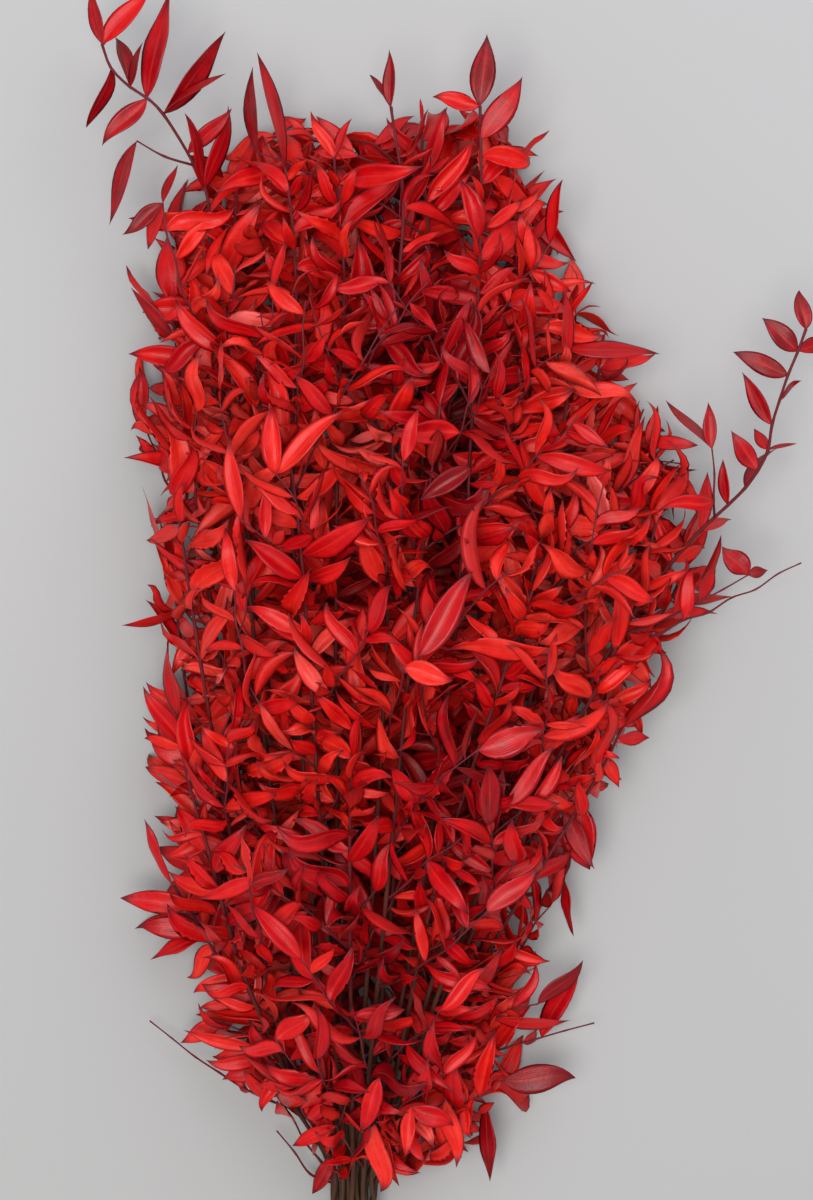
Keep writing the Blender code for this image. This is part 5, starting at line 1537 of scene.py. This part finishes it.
def add_blade(heap, leaf, rng, rows, cols, tone, alone):
    """One thin blade: pointed, folded along its midrib, twisted, curled and waved."""
    alone = leaf.drawn and alone
    L, W = leaf.length, leaf.width * (1.2 if alone else 1.0)
    foot = np.array(leaf.foot)
    d, n, s = (np.array(v) for v in (leaf.d, leaf.n, leaf.s))
    q = rng.uniform(0.98, 1.42)
    p = q * LEAF_WIDE_AT / (1 - LEAF_WIDE_AT)
    wild = 0.3 if alone else 0.6 if leaf.drawn else 1.0
    fold = min(0.95, max(-0.15, rng.gauss(0.38, 0.24))) * (0.5 if alone else 1.0)
    cup = rng.gauss(0.06, 0.22) * wild
    twist = rng.gauss(0.0, 0.75) * wild
    sickle = rng.gauss(0.0, 0.13) * wild
    hook = rng.gauss(0.05, 0.14) * wild
    wave = abs(rng.gauss(0.0, 0.0005)) * min(1.3, W / 0.012)
    waves, phase = rng.uniform(1.0, 2.4), rng.uniform(0, math.tau)
    curl_tip = rng.gauss(0.0, 1.1) * wild
    lean = rng.gauss(0.0, 0.09)

    u = np.linspace(0, 1, rows + 1)[:-1]
    t = 0.5 * u + 0.5 * (0.5 - 0.5 * np.cos(math.pi * u))
    t = 0.012 + t * 0.988
    f = (t / LEAF_WIDE_AT) ** p * ((1 - t) / (1 - LEAF_WIDE_AT)) ** q
    half = np.maximum(W / 2 * f, 0.00042 * np.clip((1 - t) / 0.1, 0.15, 1))
    mid = (foot[None] + d[None] * (L * t)[:, None]
           + n[None] * (L * (leaf.arch * 4 * t * (1 - t)
                             + hook * np.sin(math.pi * t) * (t - LEAF_WIDE_AT) * 1.6))[:, None]
           + s[None] * (L * sickle * np.sin(math.pi * t) * (t - LEAF_WIDE_AT) * 1.8)[:, None])
    way = np.gradient(mid, axis=0)
    way /= np.linalg.norm(way, axis=1)[:, None]
    roll = twist * (t - LEAF_WIDE_AT) + curl_tip * np.clip(t - 0.6, 0, 1) ** 2
    nn = n[None] * np.cos(roll)[:, None] + s[None] * np.sin(roll)[:, None]
    nn = nn - way * (nn * way).sum(1)[:, None]
    nn /= np.linalg.norm(nn, axis=1)[:, None]
    ss = np.cross(way, nn)

    a = np.linspace(-1, 1, cols + 1)
    a = np.sign(a) * np.abs(a) ** 0.85
    lift = (half[:, None] * (fold * np.abs(a)[None] + cup * a[None] ** 2)
            + wave * np.sin(math.tau * (waves * t[:, None] + 0.13 * np.sign(a)[None]) + phase)
            * np.abs(a)[None] ** 1.5 * np.clip(np.sin(math.pi * t), 0, 1)[:, None])
    taper = np.clip((1 - t) / 0.25, 0.25, 1)
    thick = 0.00017 * np.sqrt(np.maximum(0.0, 1 - a**2))[None] * taper[:, None]
    rib = 0.00022 * np.exp(-((a / 0.12) ** 2))[None] * taper[:, None]
    flat = mid[:, None] + ss[:, None] * (half[:, None] * (a + lean * a**2)[None])[:, :, None]
    top = flat + nn[:, None] * (lift + thick - 0.35 * rib)[:, :, None]
    low = flat + nn[:, None] * (lift - thick - rib)[:, :, None]
    edge = flat + nn[:, None] * lift[:, :, None]
    top[:, 0], top[:, -1] = edge[:, 0], edge[:, -1]
    ring = np.concatenate([top, low[:, -2:0:-1]], axis=1)
    across = np.concatenate([a, a[-2:0:-1]])
    under = np.concatenate([np.zeros(cols + 1), np.ones(cols - 1)])
    under[0] = under[cols] = 0.5
    points = np.vstack([ring.reshape(-1, 3), foot - d * 0.0004, np.array(leaf.tip)])
    # a blade that reaches the surface lies along it
    low = points[:, 2] < 0.0012
    points[low, 2] = 0.0012 + (points[low, 2] - 0.0012) * 0.08
    heap.add(
        points, blade_faces(rows, cols),
        along=np.concatenate([np.repeat(t, 2 * cols), [0.0, 1.0]]),
        across=np.concatenate([np.tile(across, rows), [0.0, 0.0]]),
        under=np.concatenate([np.tile(under, rows), [0.5, 0.5]]),
        tone=tone,
    )


# ---------------------------------------------------------------------------
# Materials


class Paint:
    """A node material, built by short calls."""

    def __init__(self, name):
        self.material = bpy.data.materials.new(name)
        self.material.use_nodes = True
        self.tree = self.material.node_tree
        self.shader = self.tree.nodes["Principled BSDF"]

    def node(self, kind, **settings):
        made = self.tree.nodes.new(kind)
        for key, value in settings.items():
            setattr(made, key, value)
        return made

    def join(self, out, into):
        self.tree.links.new(out, into)

    def value(self, name):
        return self.node("ShaderNodeAttribute", attribute_name=name).outputs["Fac"]

    def math(self, operation, a, b=None, c=None, clamp=False):
        made = self.node("ShaderNodeMath", operation=operation, use_clamp=clamp)
        for socket, item in zip(made.inputs, (a, b, c)):
            if item is None:
                continue
            if isinstance(item, (int, float)):
                socket.default_value = item
            else:
                self.join(item, socket)
        return made.outputs[0]

    def step(self, item, low, high, into=(0.0, 1.0)):
        made = self.node("ShaderNodeMapRange", interpolation_type="SMOOTHSTEP")
        self.join(item, made.inputs["Value"])
        made.inputs["From Min"].default_value = low
        made.inputs["From Max"].default_value = high
        made.inputs["To Min"].default_value = into[0]
        made.inputs["To Max"].default_value = into[1]
        return made.outputs["Result"]

    def noise(self, scale, detail=2.0, rough=0.5, stretch=(1, 1, 1), warp=0.0):
        place = self.node("ShaderNodeTexCoord").outputs["Object"]
        mapping = self.node("ShaderNodeMapping")
        mapping.inputs["Scale"].default_value = stretch
        self.join(place, mapping.inputs["Vector"])
        made = self.node("ShaderNodeTexNoise")
        made.inputs["Scale"].default_value = scale
        made.inputs["Detail"].default_value = detail
        made.inputs["Roughness"].default_value = rough
        made.inputs["Distortion"].default_value = warp
        self.join(mapping.outputs["Vector"], made.inputs["Vector"])
        return made.outputs["Fac"]

    def streaks(self, across, along, seed):
        """Long soft streaks along a blade, different on every blade."""
        place = self.node("ShaderNodeCombineXYZ")
        self.join(self.math("MULTIPLY", across, 2.6), place.inputs["X"])
        self.join(self.math("MULTIPLY", along, 1.5), place.inputs["Y"])
        self.join(self.math("MULTIPLY", seed, 97.0), place.inputs["Z"])
        made = self.node("ShaderNodeTexNoise")
        made.inputs["Scale"].default_value = 1.0
        made.inputs["Detail"].default_value = 3.0
        made.inputs["Roughness"].default_value = 0.55
        self.join(place.outputs["Vector"], made.inputs["Vector"])
        return made.outputs["Fac"]

    def ramp(self, item, stops):
        made = self.node("ShaderNodeValToRGB")
        ramp = made.color_ramp
        while len(ramp.elements) < len(stops):
            ramp.elements.new(0.5)
        for element, (where, colour) in zip(ramp.elements, stops):
            element.position = where
            element.color = (*colour, 1)
        self.join(item, made.inputs["Fac"])
        return made.outputs["Color"]

    def mix(self, share, a, b, blend="MIX"):
        made = self.node("ShaderNodeMix", data_type="RGBA", blend_type=blend)
        factor = made.inputs[0]
        first = next(i for i in made.inputs if i.name == "A" and i.type == "RGBA")
        second = next(i for i in made.inputs if i.name == "B" and i.type == "RGBA")
        for socket, item in ((factor, share), (first, a), (second, b)):
            if isinstance(item, (int, float)):
                socket.default_value = item
            elif isinstance(item, tuple):
                socket.default_value = (*item, 1)
            else:
                self.join(item, socket)
        return next(o for o in made.outputs if o.type == "RGBA")

    def bump(self, item, distance, strength=1.0, before=None):
        made = self.node("ShaderNodeBump")
        made.inputs["Strength"].default_value = strength
        made.inputs["Distance"].default_value = distance
        self.join(item, made.inputs["Height"])
        if before is not None:
            self.join(before, made.inputs["Normal"])
        return made.outputs["Normal"]

    def set(self, **values):
        for key, item in values.items():
            socket = self.shader.inputs[key.replace("_", " ")]
            if isinstance(item, (int, float, tuple)):
                socket.default_value = item
            else:
                self.join(item, socket)


def leaf_paint():
    paint = Paint("dyed_leaf")
    tone, along, across, under = (paint.value(n) for n in ("tone", "along", "across", "under"))
    far = paint.math("ABSOLUTE", across)
    blotch = paint.noise(95.0, 3.0, 0.6)
    fine = paint.noise(620.0, 2.0, 0.55)
    grain = paint.streaks(across, along, tone)
    # tone carries each blade's random dye tone together with the painted light and shade worked out in
    # tone_of
    shade = paint.math("ADD", tone, paint.math("MULTIPLY", paint.math("SUBTRACT", blotch, 0.5), 0.40))
    shade = paint.math("ADD", shade, paint.math("MULTIPLY", paint.math("SUBTRACT", grain, 0.5), 0.62))
    shade = paint.math("ADD", shade, paint.math("MULTIPLY", paint.math("SUBTRACT", fine, 0.5), 0.14))
    # the ramp runs from dark crimson to orange-red; its pale salmon top end is a painted highlight, sheen on
    # the brightest blades
    colour = paint.ramp(shade, (
        (0.00, (0.14, 0.0008, 0.003)),
        (0.20, (0.30, 0.0008, 0.004)),
        (0.42, (0.46, 0.0015, 0.004)),
        (0.62, (0.58, 0.009, 0.005)),
        (0.80, (0.68, 0.032, 0.021)),
        (1.00, (0.80, 0.110, 0.100)),
    ))
    # parallel veins, a paler midrib, and darker rim, tip and foot
    ripple = paint.math("SINE", paint.math("MULTIPLY", across, 44.0))
    veins = paint.math("MULTIPLY", paint.step(ripple, 0.1, 1.0), paint.step(fine, 0.35, 0.65))
    colour = paint.mix(paint.math("MULTIPLY", veins, 0.22), colour, (0.22, 0.003, 0.005))
    rib = paint.step(far, 0.11, 0.02)
    rib = paint.math("MULTIPLY", rib, paint.step(along, 0.95, 0.35))
    colour = paint.mix(paint.math("MULTIPLY", rib, 0.22), colour, (0.66, 0.06, 0.03))
    rim = paint.step(paint.math("ADD", far, paint.math("MULTIPLY", blotch, 0.24)), 0.86, 1.14)
    point = paint.step(paint.math("ADD", along, paint.math("MULTIPLY", blotch, 0.18)), 0.84, 1.06)
    foot = paint.step(along, 0.10, 0.0)
    # rims are darker on darker blades, so also on blades darkened by painted shade
    rim_by_tone = paint.step(tone, 0.52, 0.20, (0.14, 0.58))
    dark = paint.math("MAXIMUM", paint.math("MULTIPLY", rim, rim_by_tone), paint.math("MULTIPLY", point, 0.85))
    dark = paint.math("MAXIMUM", dark, paint.math("MULTIPLY", foot, 0.50))
    colour = paint.mix(dark, colour, (0.065, 0.0015, 0.006))
    colour = paint.mix(paint.math("MULTIPLY", under, 0.25), colour, (0.52, 0.036, 0.026))
    rough = paint.math("ADD", 0.26, paint.math("MULTIPLY", blotch, 0.16))
    rough = paint.math("ADD", rough, paint.math("MULTIPLY", under, 0.12))
    bump = paint.bump(ripple, 0.00003, 0.6)
    bump = paint.bump(fine, 0.00018, 0.5, bump)
    bump = paint.bump(blotch, 0.00070, 0.5, bump)
    paint.set(Base_Color=colour, Roughness=rough, Normal=bump, Metallic=0.0)
    paint.set(Specular_IOR_Level=0.20)

    return paint.material


def stem_paint():
    paint = Paint("dried_stem")
    high, cut = paint.value("along"), paint.value("cut")
    blotch = paint.noise(60.0, 3.0, 0.6)
    streak = paint.noise(900.0, 2.0, 0.6, (1, 0.08, 1))
    place = paint.math("ADD", high, paint.math("MULTIPLY", paint.math("SUBTRACT", blotch, 0.5), 0.5))
    colour = paint.ramp(place, (
        (0.00, (0.050, 0.030, 0.015)),
        (0.22, (0.060, 0.022, 0.013)),
        (0.50, (0.085, 0.008, 0.009)),
        (0.80, (0.115, 0.010, 0.014)),
        (1.00, (0.120, 0.018, 0.028)),
    ))
    colour = paint.mix(paint.math("MULTIPLY", paint.step(streak, 0.45, 0.75), 0.45),
                       colour, (0.022, 0.009, 0.007))
    colour = paint.mix(paint.step(cut, 0.3, 0.9), colour, (0.42, 0.27, 0.14))
    bump = paint.bump(streak, 0.0003, 0.6)
    paint.set(Base_Color=colour, Roughness=0.62, Normal=bump, Metallic=0.0)
    paint.set(Specular_IOR_Level=0.12)
    return paint.material


def band_paint():
    paint = Paint("tan_rubber")
    grain = paint.noise(380.0, 3.0, 0.6)
    cloud = paint.noise(45.0, 2.0, 0.5)
    colour = paint.ramp(cloud, ((0.3, (0.50, 0.32, 0.17)), (0.7, (0.60, 0.41, 0.24))))
    paint.set(Base_Color=colour, Roughness=0.55, Metallic=0.0,
              Normal=paint.bump(grain, 0.00012, 0.6))
    return paint.material


# ---------------------------------------------------------------------------
# The pieces


def shift_to_frame(bunch):
    """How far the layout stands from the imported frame, read off the band."""
    off = 0.0021 + GAP + BAND_T
    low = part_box("binding_band")[0]
    xs, zs = zip(*bunch.tie[2])
    return np.array((min(xs) - off - low.x, bunch.tie[1] - BAND_W / 2 - low.y, min(zs) - off - low.z))


def aside(p):
    """0 over the middle of the leafy mass, 1 at its edge, more outside it."""
    u, v = on_sheet(p)
    edges = outline(min(max(v, OUTLINE[0][0]), OUTLINE[-1][0]))
    return abs(u - (edges[0] + edges[1]) / 2) / max(30.0, (edges[1] - edges[0]) / 2)


def tone_of(leaf, rng):
    """How bright a blade is: chance, darker at the rim and outside the outline, and painted light and shade:
    lighter deep in the bunch, darker at the top of the mass, low in the hollows and in the shade zones,
    lighter in the light zones.
    """
    u, v = on_sheet(leaf.spine(0.5))
    high = leaf.spine(0.5).z * 1000
    s = aside(leaf.spine(0.5))
    if v < OUTLINE[0][0]:
        s = max(s, 1.0 + (OUTLINE[0][0] - v) / 100.0)
    rim = min(1.0, max(0.0, (s - 0.70) / 0.3))
    top = roof(u, v) or 30.0
    deep = min(1.0, max(0.0, (top - high - 24) / 50.0))
    # painted shade: blades low down in a hollow are darker
    hollow_shade = any(high < floor + 8 and ((u - cu) / (wu + 8)) ** 2 + ((v - cv) / (wv + 8)) ** 2 < 1
              for cu, cv, wu, wv, floor in HOLLOWS)
    # painted shade from the zones with a plus amount, painted light from those with a minus amount
    zone_shading = sum(much * math.exp(-(((u - cu) / wu) ** 2 + ((v - cv) / wv) ** 2) ** 1.3 * 0.7)
              for cu, cv, wu, wv, much in PAINTED_SHADE_AND_LIGHT)
    outer = min(1.0, max(0.0, (s - 1.02) / 0.12))
    # painted shade: blades at the top of the mass are darker, to hold down their highlights
    face = min(1.0, max(0.0, 1 - (top - high) / 16.0)) * (1 - outer)
    # deep lifts the blades deep in the bunch as painted light; face, the hollows and the zones add painted
    # shade
    tone = (rng.gauss(0.51, 0.11) - 0.02 * rim - 0.35 * outer + 0.14 * deep * (1 - rim)
            - 0.10 * face - (0.26 if hollow_shade else 0.0) - zone_shading * (1 + 0.3 * deep))
    return min(1.0, max(0.0, tone))


def build_stem(name, stem, paint, origin, rng):
    heap = Heap(("along", "cut"))
    line, radii, at_node = smooth_line(stem.nodes, stem.radii, 0.0042)
    line = line - origin
    swell = np.zeros(len(line))
    for k in set(stem.twigs) | {k for k, v in stem.leaves.items() if v}:
        swell = np.maximum(swell, np.exp(-((np.arange(len(line)) - at_node[k]) / 0.8) ** 2))
    radii = radii * (1 + 0.22 * swell) * 0.86
    high = np.clip(np.linspace(-0.05, 0.85, len(line)), 0, 1)
    cut = np.zeros(len(line))
    add_tube(heap, line, radii, 9, rng, along=high, cut=cut)
    # the slanting cut end, a paler disc just proud of the stem's own end
    t, x, y = frames_along(line[:3])
    slant = rng.uniform(-0.5, 0.5)
    ang = np.arange(12) * (math.tau / 12)
    disc = (line[0][None] - t[0][None] * 0.0004
            + (x[0][None] * np.cos(ang)[:, None] + y[0][None] * np.sin(ang)[:, None]) * radii[0] * 0.93
            - t[0][None] * (np.cos(ang) * slant * radii[0] * 0.3)[:, None])
    back = disc + t[0][None] * 0.0012
    points = np.vstack([disc, back, line[0][None] - t[0][None] * 0.00055, line[0][None] + t[0][None] * 0.001])
    faces = []
    for j in range(12):
        k = (j + 1) % 12
        faces += [(24, k, j), (j, k, 12 + k, 12 + j), (25, 12 + j, 12 + k)]
    values = np.concatenate([np.full(12, 0.75), np.zeros(12), [1.0], [0.0]])
    heap.add(points, faces, along=0.2, cut=values)
    for twigs in stem.twigs.values():
        for twig in twigs:
            line, radii, at_node = smooth_line(twig.nodes, twig.radii, 0.0031)
            line = line - origin
            swell = np.zeros(len(line))
            for k in range(1, len(twig.nodes)):
                swell = np.maximum(swell, np.exp(-((np.arange(len(line)) - at_node[k]) / 0.8) ** 2))
            taper = np.linspace(1.15, 0.78, len(line))
            radii = radii * (1 + 0.28 * swell) * taper * 0.74
            add_tube(heap, line, radii, 7, rng, along=np.linspace(0.55, 1.0, len(line)), cut=0.0)
    obj = heap.build(name + "_stem", paint)
    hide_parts(name)
    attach(obj, "root")
    return obj


def build_leaves(name, stem, extras, paint, origin, rng):
    heap = Heap(("along", "across", "under", "tone"))
    gone = Vector(tuple(origin))
    blades = []
    for twig in [stem] + [t for twigs in stem.twigs.values() for t in twigs]:
        for leaves in twig.leaves.values():
            blades += [(leaf, 12, 6) for leaf in leaves]
    for leaf in extras:
        detail = (12, 6) if leaf.drawn else (8, 4) if leaf.spine(0.5).z > 0.04 else (7, 3)
        blades.append((leaf, *detail))
    for leaf, rows, cols in blades:
        tone = tone_of(leaf, rng)
        alone = aside(leaf.spine(0.5)) > 0.96
        leaf.foot = leaf.foot - gone
        leaf.tip = leaf.tip - gone
        add_blade(heap, leaf, rng, rows, cols, tone, alone)
    obj = heap.build(name + "_leaves", paint)
    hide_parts(name)
    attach(obj, "root")
    return obj


def outer_loop(tie, off, count):
    """Points round the tied stems at an even spacing, off from their axes, in x and z."""
    cloud = []
    for x, z in tie[2]:
        for k in range(24):
            a = math.tau * k / 24
            cloud.append((x + off * math.cos(a), z + off * math.sin(a)))
    cloud.sort()

    def half(row):
        out = []
        for p in row:
            while len(out) > 1 and ((out[-1][0] - out[-2][0]) * (p[1] - out[-2][1])
                                    - (out[-1][1] - out[-2][1]) * (p[0] - out[-2][0])) <= 0:
                out.pop()
            out.append(p)
        return out[:-1]

    loop = np.array(half(cloud) + half(cloud[::-1]))
    ring = np.vstack([loop, loop[:1]])
    run = np.concatenate([[0], np.cumsum(np.linalg.norm(np.diff(ring, axis=0), axis=1))])
    want = np.linspace(0, run[-1], count, endpoint=False)
    return np.stack([np.interp(want, run, ring[:, 0]), np.interp(want, run, ring[:, 1])], axis=1)


def build_band(tie, paint, origin, rng):
    """A rubber band wound round the stems four times, its last turn slanting back over."""
    heap = Heap(("along",))
    per, turns = 72, 4
    loop = outer_loop(tie, 0.0021 + 0.0006, per)
    middle = loop.mean(axis=0)
    line, out = [], []
    total = per * (turns + 1)
    for i in range(total):
        f = i / per
        x, z = loop[i % per]
        away = np.array((x, z)) - middle
        away /= np.linalg.norm(away)
        if f < turns:
            y = -0.0030 + 0.0060 * f / turns
            lift = 0.0
        else:
            g = f - turns
            y = 0.0030 - 0.0060 * (g * g * (3 - 2 * g))
            lift = 0.00115 * min(1.0, math.sin(math.pi * g) * 3)
        y += 0.00025 * math.sin(f * 5.1) + 0.0002 * math.sin(f * 11.7)
        line.append((x + away[0] * lift, tie[1] + y, z + away[1] * lift))
        out.append((away[0], 0, away[1]))
    line, out = np.array(line) - origin, np.array(out)
    t = (np.roll(line, -1, axis=0) - np.roll(line, 1, axis=0))
    t /= np.linalg.norm(t, axis=1)[:, None]
    out = out - t * (out * t).sum(1)[:, None]
    out /= np.linalg.norm(out, axis=1)[:, None]
    side = np.cross(t, out)
    sides = 10
    ang = np.arange(sides) * math.tau / sides
    ca = np.sign(np.cos(ang)) * np.abs(np.cos(ang)) ** 0.6
    sa = np.sign(np.sin(ang)) * np.abs(np.sin(ang)) ** 0.6
    ring = (line[:, None] + side[:, None] * (ca * 0.00072)[None, :, None]
            + out[:, None] * (sa * 0.00055)[None, :, None])
    n = len(line)
    faces = []
    for i in range(n):
        m = (i + 1) % n
        for j in range(sides):
            k = (j + 1) % sides
            faces.append((i * sides + j, m * sides + j, m * sides + k, i * sides + k))
    heap.add(ring.reshape(-1, 3), faces, along=0.5)
    obj = heap.build("binding_turns", paint)
    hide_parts("binding_band")
    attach(obj, "root")
    return obj


# ---------------------------------------------------------------------------
# Floor, light and camera


def build_stage():
    mesh = bpy.data.meshes.new("floor")
    mesh.from_pydata([(-6, -6, 0), (6, -6, 0), (6, 6, 0), (-6, 6, 0)], [], [(0, 1, 2, 3)])
    floor = bpy.data.objects.new("floor", mesh)
    floor.location.z = -0.0004
    bpy.context.scene.collection.objects.link(floor)
    paint = Paint("pale_floor")
    # a pale sheet with a painted light falloff: darker towards -y and lighter towards +y, the change running
    # along a slightly wavy line
    place = paint.node("ShaderNodeTexCoord").outputs["Object"]
    apart = paint.node("ShaderNodeSeparateXYZ")
    paint.join(place, apart.inputs["Vector"])
    cloud = paint.math("MULTIPLY", paint.math("SUBTRACT", paint.noise(2.2, 1.0, 0.4), 0.5), 0.5)
    share = paint.step(paint.math("ADD", apart.outputs["Y"], cloud), -0.62, 0.30)
    colour = paint.mix(share, (0.305, 0.302, 0.295), (0.352, 0.350, 0.352))
    paint.set(Base_Color=colour, Roughness=0.9)
    mesh.materials.append(paint.material)


def area_light(name, place, aim, size, power, colour=(1, 1, 1)):
    data = bpy.data.lights.new(name, "AREA")
    data.shape = "DISK"
    data.size = size
    data.energy = power
    data.color = colour
    lamp = bpy.data.objects.new(name, data)
    lamp.location = place
    lamp.rotation_mode = "QUATERNION"
    lamp.rotation_quaternion = (Vector(aim) - Vector(place)).to_track_quat("-Z", "Y")
    bpy.context.scene.collection.objects.link(lamp)


def build_light():
    area_light("key", (-0.55, -0.45, 4.2), (0, 0.1, 0.05), 2.4, 158, (1.0, 0.98, 0.95))
    area_light("fill", (0.9, 2.0, 2.4), (0, 0.3, 0.05), 2.6, 46, (0.97, 0.98, 1.0))
    world = bpy.data.worlds.new("soft_room")
    world.use_nodes = True
    world.node_tree.nodes["Background"].inputs["Color"].default_value = (0.92, 0.94, 1.0, 1)
    world.node_tree.nodes["Background"].inputs["Strength"].default_value = 0.66
    bpy.context.scene.world = world
    bpy.context.scene.view_settings.view_transform = "Standard"


def build_camera(origin):
    data = bpy.data.cameras.new("camera")
    data.sensor_fit = "AUTO"
    data.sensor_width = 36.0
    data.lens = 36.0 * EYE / (1200 * UNIT)
    data.clip_end = 20.0
    camera = bpy.data.objects.new("camera", data)
    camera.location = (-origin[0], -origin[1], EYE + MID - origin[2])
    bpy.context.scene.collection.objects.link(camera)
    bpy.context.scene.camera = camera


def main():
    bunch = Bunch().grow()
    settle(bunch)
    extras = add_extras(bunch)
    origin = shift_to_frame(bunch)
    leaf, stalk, rubber = leaf_paint(), stem_paint(), band_paint()
    for number, name in enumerate(sorted(bunch.stems)):
        stem = bunch.stems[name]
        rng = random.Random(SEED * 100 + number)
        build_stem(name, stem, stalk, origin, rng)
        build_leaves(name, stem, extras[name], leaf, origin, rng)
    build_band(bunch.tie, rubber, origin, random.Random(SEED))
    build_stage()
    build_light()
    build_camera(origin)


main()
